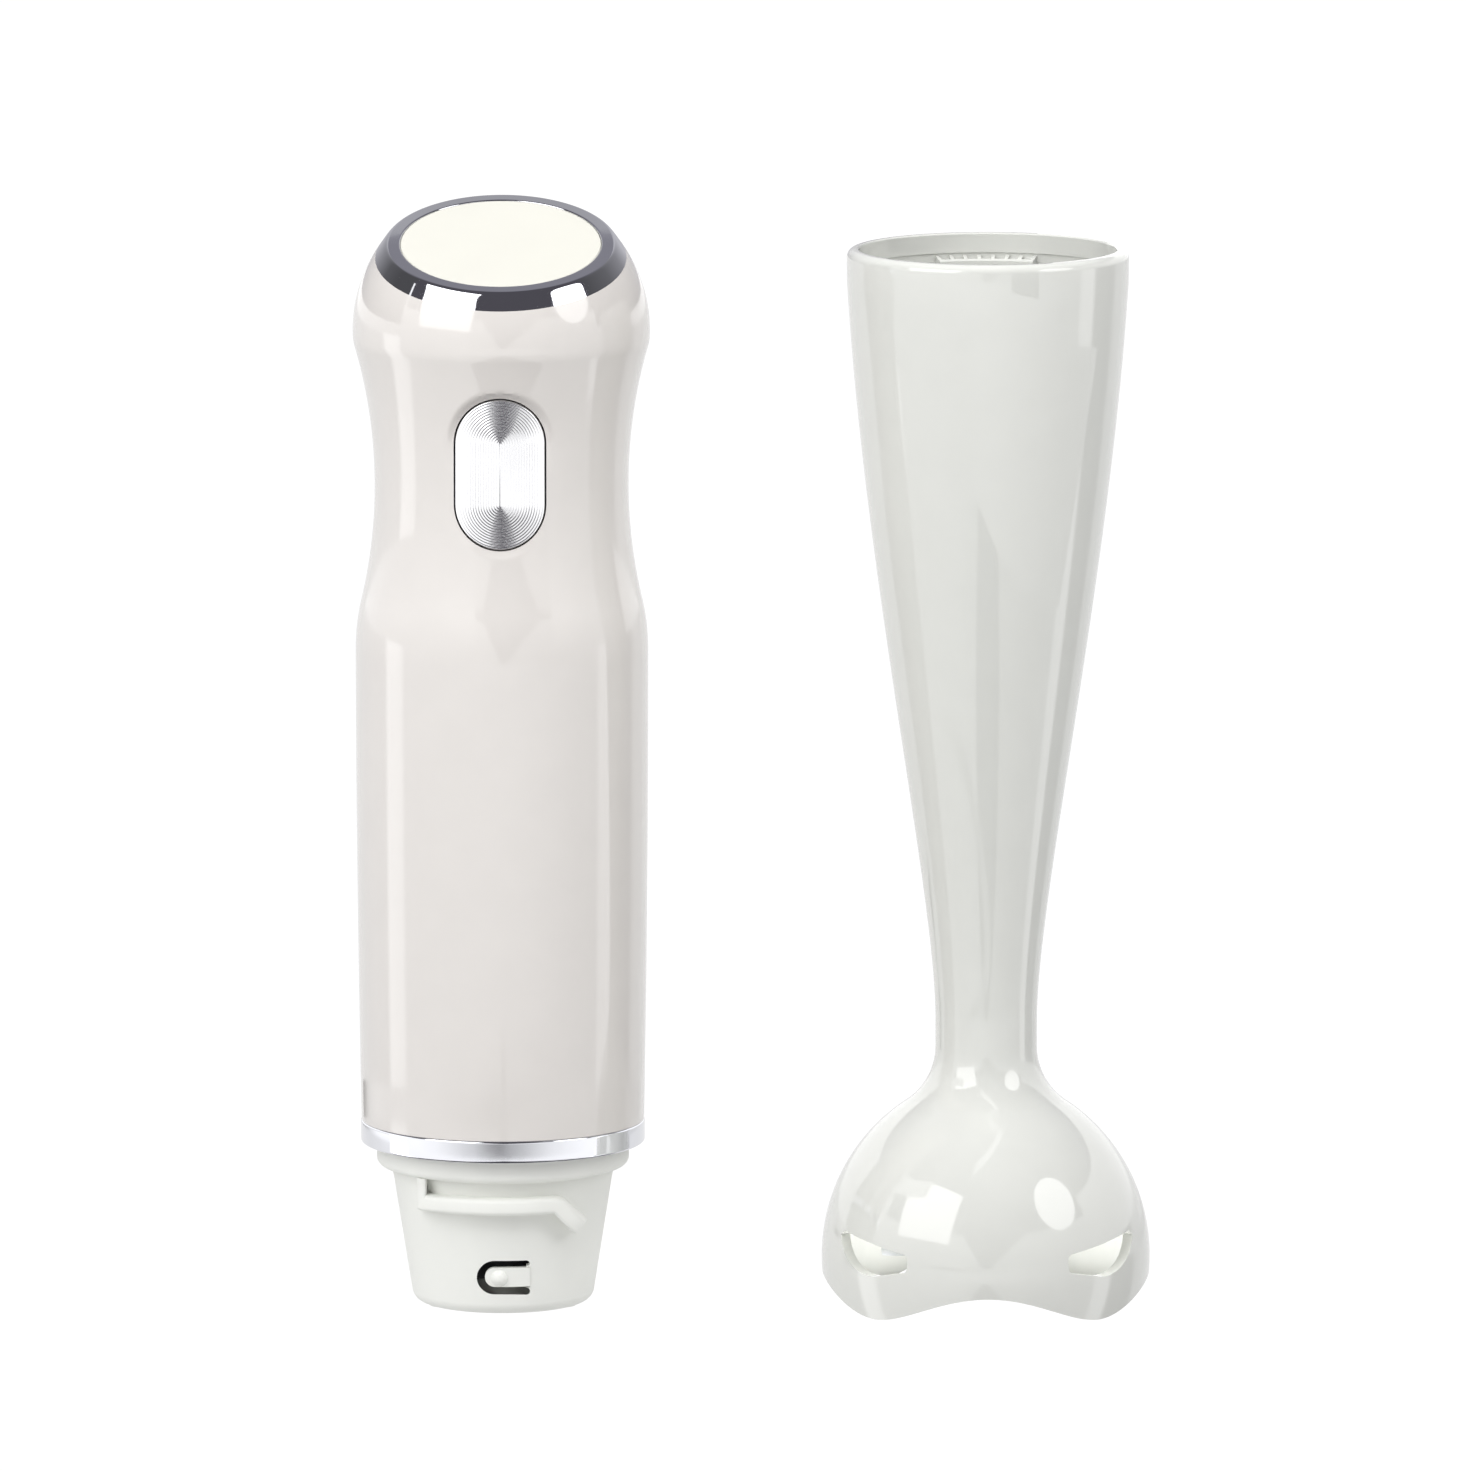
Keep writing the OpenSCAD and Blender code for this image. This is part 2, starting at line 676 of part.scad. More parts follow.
module mains_leads() color("#7A5230") at_handset() for (side = [-1, 1]) wire(bezier([
    [side * 1.5, bush_in - 1.5, bush_z], [side * 1.5, bush_in - 10, bush_z],
    [side * 6, board_y + board_t / 2, board_z1 + 12], [side * 6, board_y + board_t / 2, board_z1 + seat_gap]
], 16), lead_r);

module motor_leads() color("#A32A24") at_handset() for (side = [-1, 1]) wire(bezier([
    [side * 9, board_y + board_t / 2, board_z0 - seat_gap], [side * 9, board_y + board_t / 2, board_z0 - 6],
    [side * (carrier_r - 6), 4, carrier_z1 + 8],
    [side * (carrier_r - 2), 0, carrier_z1 + carrier_ring + lead_r]
], 12), lead_r);

// ---- Motor ----

module motor_carrier() color("#4A4D52") at_handset() difference() {
    union() {
        disc(carrier_r, carrier_z0, carrier_z0 + carrier_plate);
        tube(carrier_r, carrier_r - carrier_wall, carrier_z0, carrier_z1);
        disc(hub_r, carrier_z0 - 10, carrier_z0 + carrier_plate);
        for (a = screw_angles) rotate(a) translate([screw_circle, 0, 0])
            disc(pad_r - 0.4, pad_top + seat_gap, carrier_z0 + 1);
    }
    disc(bearing_r, carrier_z0 - 8, carrier_z0 + carrier_plate + 1);
    disc(motor_shaft_r + moving_gap, carrier_z0 - 12, carrier_z0);
    for (a = screw_angles) rotate(a) translate([screw_circle, 0, 0])
        disc(screw_r + seat_gap, 0, pad_top + 15);
    for (a = [45:90:315]) rotate(a) translate([carrier_r - 4, -6, can_z0 + 8]) cube([8, 12, motor_len - 20]);
    for (a = [45:90:315]) rotate(a) translate([carrier_r - 4, -6, can_z0 - 2]) cube([8, 12, 3]);
}

module motor_can() color("#A9ACB0") at_handset() difference() {
    disc(motor_r, can_z0, can_z1);
    disc(motor_r - can_wall, can_z0 + can_wall, can_z1 + 1);
    disc(6, can_z0 - 1, can_z0 + can_wall + 1);
    for (a = [0:60:300]) rotate(a) translate([motor_r * 0.65, 0, 0])
        disc(vent_r, can_z0 - 1, can_z0 + can_wall + 1);
}

module damper_rings() color("#1D1D1F") at_handset() for (z = [can_z0 + 4, can_z1 - 8])
    tube(carrier_r - carrier_wall, motor_r, z, z + 4);

module field_magnets() color("#55585E") at_handset() for (side = [0, 180]) rotate(side - 55)
    rotate_extrude(angle = 110) translate([magnet_r0, magnet_z0]) square([magnet_t, magnet_z1 - magnet_z0]);

module end_bell() color("#2B2C30") at_handset() difference() {
    union() {
        disc(motor_r, can_z1 + seat_gap, can_z1 + bell_plate);
        disc(hub_r, can_z1, bell_hub_top);
        for (side = [0, 180]) rotate(side)
            translate([commutator_r + 1, -brush_w / 2 - holder_wall, brush_z - brush_h / 2 - holder_wall])
                cube([brush_out - commutator_r, brush_w + 2 * holder_wall, can_z1 - brush_z + brush_h]);
    }
    for (side = [0, 180]) rotate(side)
        translate([0, -brush_w / 2 - seat_gap, brush_z - brush_h / 2 - seat_gap])
            cube([motor_r - 3, brush_w + 2 * seat_gap, brush_h + 2 * seat_gap]);
    disc(motor_shaft_r + moving_gap, can_z1 - 8, can_z1 + 3);
    disc(bearing_r, can_z1 + 2, bell_hub_top + 1);
    for (a = [55, 125, 235, 305]) rotate(a) translate([motor_r * 0.7, 0, 0]) disc(3, can_z1 - 1, can_z1 + 5);
}

module carbon_brushes() color("#1A1A1C") at_handset() difference() {
    for (side = [0, 180]) rotate(side) translate([commutator_r, -brush_w / 2, brush_z - brush_h / 2])
        cube([brush_out - commutator_r - 1, brush_w, brush_h]);
    disc(commutator_r + 0.1, commutator_z0 - 1, commutator_z1 + 1);
}

module brush_springs() color("#B08D4A") at_handset() for (side = [0, 180]) rotate(side) {
    translate([brush_out - 1 + seat_gap, -brush_w / 2, brush_z - 2]) cube([0.4, brush_w, 4]);
    translate([brush_out - 1 + seat_gap, -0.8, brush_z - 0.8]) cube([1.9, 1.6, 1.6]);
}

module lower_bearing() color("#B98A4B") at_handset()
    tube(bearing_r, motor_shaft_r + running_gap, carrier_z0 - 8, carrier_z0 + carrier_plate);

module upper_bearing() color("#B98A4B") at_handset()
    tube(bearing_r, motor_shaft_r + running_gap, can_z1 + 3 + seat_gap, bell_hub_top);

module motor_shaft() color("#C4C7CC") at_handset() disc(motor_shaft_r, dog_z1 - 9, fan_z0 + fan_h);

module armature() color("#8A8D92") at_handset() difference() {
    disc(armature_r, core_z0, core_z1);
    disc(motor_shaft_r, core_z0 - 1, core_z1 + 1);
    for (a = [0:30:330]) rotate(a) {
        translate([armature_r - 1.8, -0.9, core_z0 - 1]) cube([3, 1.8, core_z1 - core_z0 + 2]);
        translate([armature_r - 3.6, 0, 0]) disc(2, core_z0 - 1, core_z1 + 1);
    }
}

module windings() color("#B5682C") at_handset() for (z = [core_z0 - coil_end, core_z1]) difference() {
    disc(armature_r - 1.2, z + seat_gap, z + coil_end - seat_gap);
    disc(motor_shaft_r + seat_gap, z - 1, z + coil_end + 1);
    for (a = [0:30:330]) rotate(a) translate([armature_r - 0.9, 0, 0]) disc(1.1, z - 1, z + coil_end + 1);
}

module commutator() color("#C27C3A") at_handset() difference() {
    disc(commutator_r, commutator_z0, commutator_z1);
    disc(motor_shaft_r, commutator_z0 - 1, commutator_z1 + 1);
    for (a = [15:30:345]) rotate(a) translate([commutator_r - 0.8, -0.2, commutator_z0 - 1])
        cube([2, 0.4, commutator_z1 - commutator_z0 + 2]);
}

module cooling_fan() color("#D8D8D2") at_handset() difference() {
    union() {
        disc(4.5, fan_z0, fan_z0 + fan_h);
        disc(fan_r, fan_z0, fan_z0 + 1.2);
        for (i = [0:fan_blades - 1]) rotate(360 * i / fan_blades) translate([6.5, 0, fan_z0 + 1]) rotate(-25)
            cube([fan_r - 8.4, 1.1, fan_h - 1]);
    }
    disc(motor_shaft_r, fan_z0 - 1, fan_z0 + fan_h + 1);
}

module dog_star(core_r, tooth_r, tooth_w) {
    circle(core_r);
    for (i = [0:dog_teeth / 2 - 1]) rotate(360 * i / dog_teeth) square([2 * tooth_r, tooth_w], center = true);
}

module drive_dog() color("#1F2023") at_handset() difference() {
    union() {
        disc(dog_r, dog_z0, dog_z1 - 3);
        disc(dog_r - 2, dog_z0 + 1, dog_z1);
    }
    translate([0, 0, dog_z0 - 1]) linear_extrude(9)
        dog_star(dog_core_r + dog_play, dog_tooth_r + dog_play, dog_tooth_w + 2 * dog_play);
    disc(motor_shaft_r, dog_z1 - 9, dog_z1 + 1);
}

// ---- Foot ----

module arches() for (turn = [0, 90]) rotate(turn) translate([0, 0, arch_h - arch_arc]) rotate([90, 0, 0])
    cylinder(r = arch_arc, h = 3 * bell_r, center = true, $fn = 180);

// A crescent slot through the bell's wall: pointed at its upper outer corner, blunt at its inner end
module crescent_slot() rotate(90) rotate([90, 0, 0]) linear_extrude(2 * bell_r) polygon(concat(
    [slot_tip],
    arc(slot_c, slot_arc, -24, -102, 10),
    arc([slot_end + slot_round, slot_low + slot_round], slot_round, -90, -180, 3),
    arc([slot_end + slot_round, slot_high - slot_round], slot_round, 180, 100, 3)
));

module lug() {
    z1 = foot_h - lug_drop;
    rotate(-90 - lug_half) rotate_extrude(angle = 2 * lug_half)
        translate([lug_r, z1 - lug_t]) square([mouth_r - lug_r + 1, lug_t]);
    for (i = [0:gussets - 1]) rotate(-90 + lug_half * (2 * i / (gussets - 1) - 1) * 0.96)
        translate([0, gusset_w / 2, 0]) rotate([90, 0, 0]) linear_extrude(gusset_w)
            polygon([[lug_r + 0.2, z1 - eps], [mouth_r + 1, z1 + gusset_rise], [mouth_r + 1, z1 - eps]]);
}

module foot_shell() color("#E1E2DE") at_foot() {
    difference() {
        rotate_extrude() polygon(concat(
            [[0, 0]],
            bell_outline(0, bell_angle),
            arc(neck_c, neck_arc, 180 + bell_angle, 180, 10),
            stem_outline(0),
            [[rim_r, foot_h - lip_round]],
            arc([rim_r - lip_round, foot_h - lip_round], lip_round, 30, 90, 3),
            [[0, foot_h]]
        ));
        rotate_extrude() polygon(concat(
            [[0, -1], [bell_r - rim_tuck - foot_wall, -1]],
            bell_outline(foot_wall, bell_angle + 8),
            [[boss_r, bell_c[1] + (bell_arc - foot_wall) * sin(bell_angle + 8)]],
            [[boss_r, boss_z0], [0, boss_z0]]
        ));
        rotate_extrude() polygon(concat(
            [[0, stem_in_z], [neck_r - foot_wall, stem_in_z]],
            [for (p = stem_outline(foot_wall)) if (p[1] > stem_in_z + 2) p],
            [[mouth_r + mouth_relief, foot_h - lip_h + 0.2], [mouth_r + mouth_relief, foot_h - mouth_land]],
            [[mouth_r, foot_h - mouth_land], [mouth_r, foot_h + 1], [0, foot_h + 1]]
        ));
        disc(tube_r + seat_gap, boss_z0 - 1, stem_in_z + 1);
        arches();
        for (x = [0, 1], y = [0, 1]) mirror([x, 0, 0]) mirror([0, y, 0]) rotate(-45) crescent_slot();
    }
    lug();
    rotate(180) lug();
}

// Cup for the collar's cone, with a hollow for each detent bump
module socket_liner() color("#D8DAD6") at_foot() difference() {
    union() {
        translate([0, 0, dock_z]) rotate_extrude() polygon([
            [cone_r(0) + liner_gap, -liner_gap],
            [cone_r(liner_h) + liner_gap, liner_h],
            [cone_r(liner_h) + liner_gap + liner_wall, liner_h],
            [cone_r(0) + liner_gap + liner_wall, -liner_gap]
        ]);
        disc(liner_flange_r, liner_z0, liner_z0 + liner_floor);
    }
    disc(dog_tooth_r + 1.2, liner_z0 - 1, liner_z0 + liner_floor + 1);
    for (turn = [0, 180]) rotate(turn - lock_turn)
        translate([bump_x, -cone_r(tab_z) + bump_r - bump_proud, dock_z + tab_z]) sphere(bump_r + 0.3);
}

// Radius of the stem's outline at a height, read between the outline's own points
function stem_radius_at(z) = lookup(z, [for (p = stem_outline(0)) [p[1], p[0]]]);

module bearing_tube() color("#C7CACD") at_foot() difference() {
    union() {
        disc(tube_r, tube_z0, tube_z1);
        disc(tube_r + 3, tube_z1 - 4, tube_z1);
    }
    disc(tube_r - tube_wall, tube_z0 - 1, tube_z1 + 1);
}

module upper_bush() color("#B98A4B") at_foot()
    tube(tube_r - tube_wall, drive_shaft_r + running_gap, tube_z1 - bush_len - 0.5, tube_z1 - 0.5);

module lower_bush() color("#B98A4B") at_foot()
    tube(tube_r - tube_wall, drive_shaft_r + running_gap, tube_z0 + 0.5, tube_z0 + 0.5 + bush_len);

module shaft_seal() color("#2A2A2C") at_foot() difference() {
    disc(tube_r, boss_z0 + 0.3, tube_z0 - seat_gap);
    disc(drive_shaft_r + 0.3, boss_z0 - 1, tube_z0 + 1);
}

module drive_shaft() color("#C4C7CC") at_foot() {
    disc(drive_shaft_r, blade_z + blade_t, driven_z1 - 2);
    disc(thread_r, blade_z - nut_h, blade_z + 2);
}

module driven_dog() color("#E8E6E0") at_foot() difference() {
    translate([0, 0, driven_z0]) linear_extrude(driven_z1 - driven_z0)
        dog_star(dog_core_r, dog_tooth_r, dog_tooth_w);
    disc(drive_shaft_r, driven_z0 - 1, driven_z1 - 2);
}

module retaining_ring() color("#8F9297") at_foot()
    tube(drive_shaft_r + 1.8, drive_shaft_r, liner_z0 - 0.3, liner_z0 + 0.5);

module wing_outline() intersection() {
    circle(blade_r);
    translate([wing_root, -10]) square([blade_r, 15]);
    translate([wing_root, wing_half - blade_r]) circle(blade_r);
    translate([wing_root + 2, blade_r * 1.25 - wing_half]) circle(blade_r * 1.25);
}

// Two swept wings on one hub, one wing bent up and the other bent down
module blade() color("#D5D8DC") at_foot() translate([0, 0, blade_z]) difference() {
    union() {
        cylinder(r = blade_hub_r, h = blade_t);
        for (wing = [0, 1]) rotate(180 * wing) translate([wing_root, 0, 0]) rotate([0, wing_bends[wing], 0])
            translate([-wing_root, 0, 0]) linear_extrude(blade_t) wing_outline();
    }
    disc(thread_r, -4, 6);
}

module blade_nut() color("#D5D8DC") at_foot() difference() {
    union() {
        translate([0, 0, blade_z - nut_h]) cylinder(r = nut_r, h = nut_h, $fn = 6);
        disc(washer_r, blade_z - washer_t, blade_z);
    }
    disc(thread_r, blade_z - nut_h - 1, blade_z + 1);
}

grip_shell();
top_ring();
top_cap();
trim_ring();
collar();
collar_screws();
detent_tab_front();
detent_tab_rear();
cable_bush();
button_cap();
button_slider();
button_spring();
switch_carrier();
microswitch();
switch_plunger();
circuit_board();
board_parts();
board_screws();
mains_leads();
motor_leads();
motor_carrier();
motor_can();
damper_rings();
field_magnets();
end_bell();
carbon_brushes();
brush_springs();
lower_bearing();
upper_bearing();
motor_shaft();
armature();
windings();
commutator();
cooling_fan();
drive_dog();
foot_shell();
socket_liner();
bearing_tube();
upper_bush();
lower_bush();
shaft_seal();
drive_shaft();
driven_dog();
retaining_ring();
blade();
blade_nut();
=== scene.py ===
"""Looks of the immersion blender: rebuilt outer pieces, finishes of every part, light tent and camera.

Sizes are in millimetres until a mesh is made. The front is -Y, the handset stands on its collar
at the left and the blending foot stands on its bell at the right.
"""

import json
import math

import bmesh
import bpy
from mathutils import Matrix, Vector
from mathutils.bvhtree import BVHTree
from mathutils.interpolate import poly_3d_calc


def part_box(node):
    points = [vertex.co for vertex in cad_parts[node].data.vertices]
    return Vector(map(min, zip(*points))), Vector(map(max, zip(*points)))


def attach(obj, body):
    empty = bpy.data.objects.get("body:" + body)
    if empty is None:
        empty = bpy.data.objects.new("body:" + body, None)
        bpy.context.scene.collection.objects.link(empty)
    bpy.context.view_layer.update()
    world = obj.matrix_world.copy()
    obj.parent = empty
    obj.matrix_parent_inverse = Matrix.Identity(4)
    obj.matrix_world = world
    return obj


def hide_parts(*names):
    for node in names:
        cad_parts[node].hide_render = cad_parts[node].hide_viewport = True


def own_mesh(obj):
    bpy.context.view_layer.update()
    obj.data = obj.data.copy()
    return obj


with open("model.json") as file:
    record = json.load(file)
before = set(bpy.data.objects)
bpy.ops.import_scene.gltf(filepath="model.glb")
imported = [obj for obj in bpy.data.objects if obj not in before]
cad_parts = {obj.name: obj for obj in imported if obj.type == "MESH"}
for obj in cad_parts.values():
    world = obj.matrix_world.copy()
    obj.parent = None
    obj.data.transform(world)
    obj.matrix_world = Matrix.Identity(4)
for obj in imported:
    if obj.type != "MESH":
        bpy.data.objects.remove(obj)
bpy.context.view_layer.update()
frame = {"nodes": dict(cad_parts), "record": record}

MM = 0.001
TAU = 2 * math.pi
SEAM = 0.05  # how far a piece that nests in another stays clear of its wall

# ---- Driving sizes, from the frame and in millimetres ----


def box_mm(node):
    low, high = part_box(node)
    return low / MM, high / MM


grip_low, grip_high = box_mm("grip_shell")
foot_low, foot_high = box_mm("foot_shell")
ring_low, ring_high = box_mm("trim_ring")
collar_low, collar_high = box_mm("collar")

handset_x = (grip_low.x + grip_high.x) / 2
foot_x = (foot_low.x + foot_high.x) / 2
shoulder_r = (grip_high.x - grip_low.x) / 2
grip_z0 = grip_low.z
trim_r = (ring_high.x - ring_low.x) / 2
step_r = (collar_high.x - collar_low.x) / 2
bell_r = (foot_high.x - foot_low.x) / 2
foot_h = foot_high.z
step_top = ring_low.z

# Grip outline
grip_r = shoulder_r - 0.4
grip_taper = 0.9
grip_wall = 2.5
shoulder_z = 196.4
waist_z = shoulder_z - 30.9
waist_r = grip_r - 3.9
waist_arc = 100
barrel_arc = 44
crease_arc = 8
lead_hole_r = 5.05
lead_hole_z = shoulder_z + 3

# Top, in the tilted plane of its ring
top_tilt = math.radians(18.2)
top_seat = 16
seat_r = math.sqrt(shoulder_r ** 2 - top_seat ** 2)
ring_rise = 3.2
ring_bevel = 2.6
ring_land = 2.4
ring_top_r = seat_r - ring_bevel
cap_r = ring_top_r - ring_land
cap_seat = 0.8
cap_ledge = 1.5
cap_skirt = (2.9, 1.55)  # inner and outer inset of the skirt under the cap
cap_round = 0.35
cap_drop = 0.1  # the cap lies this much below the ring's land
ring_lip = 0.25
skirt_h = 3
mouth_top_r = math.sqrt((shoulder_r - grip_wall) ** 2 - top_seat ** 2)

# Button
button_r = 8.9
button_half = 6.1
button_z = waist_z + 5.2
button_gap = 0.3
spring_low, spring_high = box_mm("button_spring")
spring_wire = 0.35
dish = 1.6  # width of the pressed-in rim round the button
cap_t = 1.6
cap_edge = 0.3
groove_pitch = 0.52
groove_depth = 0.053
waist_c = waist_r + waist_arc
button_front_r = waist_c - math.sqrt(waist_arc ** 2 - (button_z - waist_z) ** 2)

# Collar
cone_h = 27.8
cone_top_r = step_r - 3
cone_draft = math.radians(8.2)
end_round = 2.7
cone_end = 2.6  # the cone stops this far under the step, where its root fillet starts
root_fillet = 0.6
step_round = 1.5
collar_wall = 2
collar_floor = 2.2
neck_r = step_r - 1.9
neck_top = step_top + 8.4
dog_hole_r = 10
sleeve_r = 11.2
sleeve_top = 5.9
rib_r = cone_top_r + 2.6
rib_top = cone_h - 3.2
rib_t = 3.3
rib_left = -15
rib_right = 10.6
rib_edge = 0.9
rib_root = 0.4  # how deep the root of a rib lies in the cone
ramp_x = 6.4
ramp_drop = 5.3
ramp_turn = 1  # half the length of the bend between the level rib and its ramp
stop_w = 2
tab_z = 7.9
tab_left_x = -1.45
tab_root_x = 5.7
tab_window_h = 6.9
tab_slot = 1.5
tab_root_gap = 0.12
window_skin = 0.4
window_flare = 2.5  # the window widens this much behind its skin
screw_circle = 13.1
screw_angles = [90, 210, 330]
screw_r = 1.3
screw_head_r = 2.45
pad_r = 3.3
pad_top = 6
head_seat = 3

# Foot
foot_wall = 2.4
mouth_r = step_r + 0.4
mouth_land = 4
mouth_relief = 0.3
rim_r = mouth_r + foot_wall
lip_h = 6.8
lip_round = 1.7
lip_proud = 0.05
foot_neck_r = 10.2
foot_neck_z = 57
stem_pull = 25
stem_lean = 60
stem_slope = 0.06
stem_in_z = foot_neck_z + 8
bell_arc = 37.5
bell_widest_z = 9
bell_c = (bell_r - bell_arc, bell_widest_z)
neck_arc = 14
foot_neck_c = (
    foot_neck_r + neck_arc,
    bell_widest_z + math.sqrt((bell_arc + neck_arc) ** 2 - (foot_neck_r + neck_arc - bell_c[0]) ** 2),
)
arch_h = 5.9
rim_sag = 0.35  # roundness of the bell's rim
boss_r = 9
boss_z0 = 22
tube_r = (box_mm("bearing_tube")[1].x - box_mm("bearing_tube")[0].x) / 2
slot_c = (0.2, 20.4)
slot_arc = 11.5
slot_tip = (9.3, 16.8)
slot_end = -8.9
slot_low = 10.3
slot_high = 14.2
slot_round = 1.3
lug_w = 19.4
lug_r = mouth_r - 2.1
lug_top = foot_h - 5.1
lug_t = 2.5
gussets = 8
gusset_w = 0.7
gusset_rise = 0.9
lug_edge = 0.35

# ---- Outlines: (radius, height) points ----


def arc(centre, radius, start, end, steps):
    """Points on a circle; the angles are in degrees."""
    points = []
    for i in range(steps + 1):
        angle = math.radians(start + (end - start) * i / steps)
        points.append((centre[0] + radius * math.cos(angle), centre[1] + radius * math.sin(angle)))
    return points


def bezier(p, steps):
    points = []
    for i in range(steps + 1):
        t = i / steps
        s = 1 - t
        weights = (s * s * s, 3 * s * s * t, 3 * s * t * t, t * t * t)
        points.append(tuple(sum(w * q[k] for w, q in zip(weights, p)) for k in (0, 1)))
    return points


def meet(c0, r0, c1, r1):
    """Where two circles meet, above the line between their centres."""
    c0, c1 = Vector(c0), Vector(c1)
    d = (c1 - c0).length
    along = (d * d + r0 * r0 - r1 * r1) / (2 * d)
    up = math.sqrt(max(0, r0 * r0 - along * along))
    u = (c1 - c0) / d
    return c0 + along * u + up * Vector((-u.y, u.x))


def grip_outline(inset):
    """From the barrel's lower end to the crease under the shoulder."""
    reach = barrel_arc + waist_arc - (grip_r - waist_r)
    barrel_top = waist_z - math.sqrt((barrel_arc + waist_arc) ** 2 - reach ** 2)
    angle = math.degrees(math.atan2(waist_z - barrel_top, reach))
    crease = meet((0, shoulder_z), shoulder_r - crease_arc, (waist_c, waist_z), waist_arc + crease_arc)
    low = math.degrees(math.atan2(waist_z - crease.y, waist_c - crease.x))
    high = math.degrees(math.atan2(crease.y - shoulder_z, crease.x))
    points = []
    for i in range(24):
        u = 1 - i / 24
        points.append((grip_r - grip_taper * u * u - inset, barrel_top - u * (barrel_top - grip_z0)))
    points += arc((grip_r - barrel_arc, barrel_top), barrel_arc - inset, 0, angle, 16)
    points += arc((waist_c, waist_z), waist_arc + inset, 180 + angle, 180 + low, 90)[1:]
    points += arc(crease, crease_arc - inset, low, high, 8)[1:]
    return points, high


def stem_outline(inset):
    return bezier([
        (foot_neck_r - inset, foot_neck_z),
        (foot_neck_r - inset, foot_neck_z + stem_pull),
        (rim_r - stem_slope * stem_lean - inset, foot_h - lip_h - stem_lean),
        (rim_r - inset, foot_h - lip_h),
    ], 60)


def bell_top_angle():
    return math.degrees(math.atan2(foot_neck_c[1] - bell_c[1], foot_neck_c[0] - bell_c[0]))


def cone_r(z):
    return cone_top_r - (cone_h - z) * math.tan(cone_draft)


# ---- Meshes: a shape is (points, faces) in millimetres ----

SHARP = 32  # degrees between faces from which an edge stays sharp


def loft(rings, wrap=False, caps=False):
    """Skin over closed rings of equally many points; wrap joins the last ring to the first."""
    count = len(rings[0])
    points = [p for ring in rings for p in ring]
    faces = []
    for i in range(len(rings) if wrap else len(rings) - 1):
        a = i * count
        b = (i + 1) % len(rings) * count
        for k in range(count):
            n = (k + 1) % count
            faces.append((a + k, a + n, b + n, b + k))
    if caps:
        faces.append(tuple(reversed(range(count))))
        faces.append(tuple(range((len(rings) - 1) * count, len(rings) * count)))
    return points, faces


def circle(radius, z, segments):
    return [
        (radius * math.cos(TAU * k / segments), radius * math.sin(TAU * k / segments), z)
        for k in range(segments)
    ]


def lathe(outline, segments=192, wrap=True):
    """Revolves an outline, a closed loop unless wrap is off, round the Z axis."""
    return loft([circle(r, z, segments) for r, z in outline], wrap=wrap, caps=not wrap)


def prism(outline, y0, y1):
    """A front-view (x, z) outline carried from y0 to y1."""
    return loft([[(x, y, z) for x, z in outline] for y in (y0, y1)], caps=True)


def join(*shapes):
    points, faces = [], []
    for shape_points, shape_faces in shapes:
        start = len(points)
        points += shape_points
        faces += [tuple(start + i for i in face) for face in shape_faces]
    return points, faces


def place(shape, matrix):
    points, faces = shape
    return [tuple(matrix @ Vector(p)) for p in points], faces


def at_handset(shape):
    return place(shape, Matrix.Translation((handset_x, 0, 0)))


def at_foot(shape):
    return place(shape, Matrix.Translation((foot_x, 0, 0)))


def at_top(shape):
    return place(shape, Matrix.Translation((handset_x, 0, shoulder_z)) @ Matrix.Rotation(top_tilt, 4, "X")
                 @ Matrix.Translation((0, 0, top_seat)))


def mesh_of(name, shape, sharp=SHARP):
    """A closed mesh in metres with outward faces, smooth except at edges sharper than the angle."""
    mesh = bpy.data.meshes.new(name)
    mesh.from_pydata([Vector(p) * MM for p in shape[0]], [], shape[1])
    work = bmesh.new()
    work.from_mesh(mesh)
    bmesh.ops.remove_doubles(work, verts=work.verts, dist=1e-7)
    bmesh.ops.recalc_face_normals(work, faces=work.faces)
    work.to_mesh(mesh)
    work.free()
    mesh.shade_smooth()
    mesh.set_sharp_from_angle(angle=math.radians(sharp))
    return mesh


def object_of(name, mesh):
    piece = bpy.data.objects.new(name, mesh)
    bpy.context.scene.collection.objects.link(piece)
    return piece


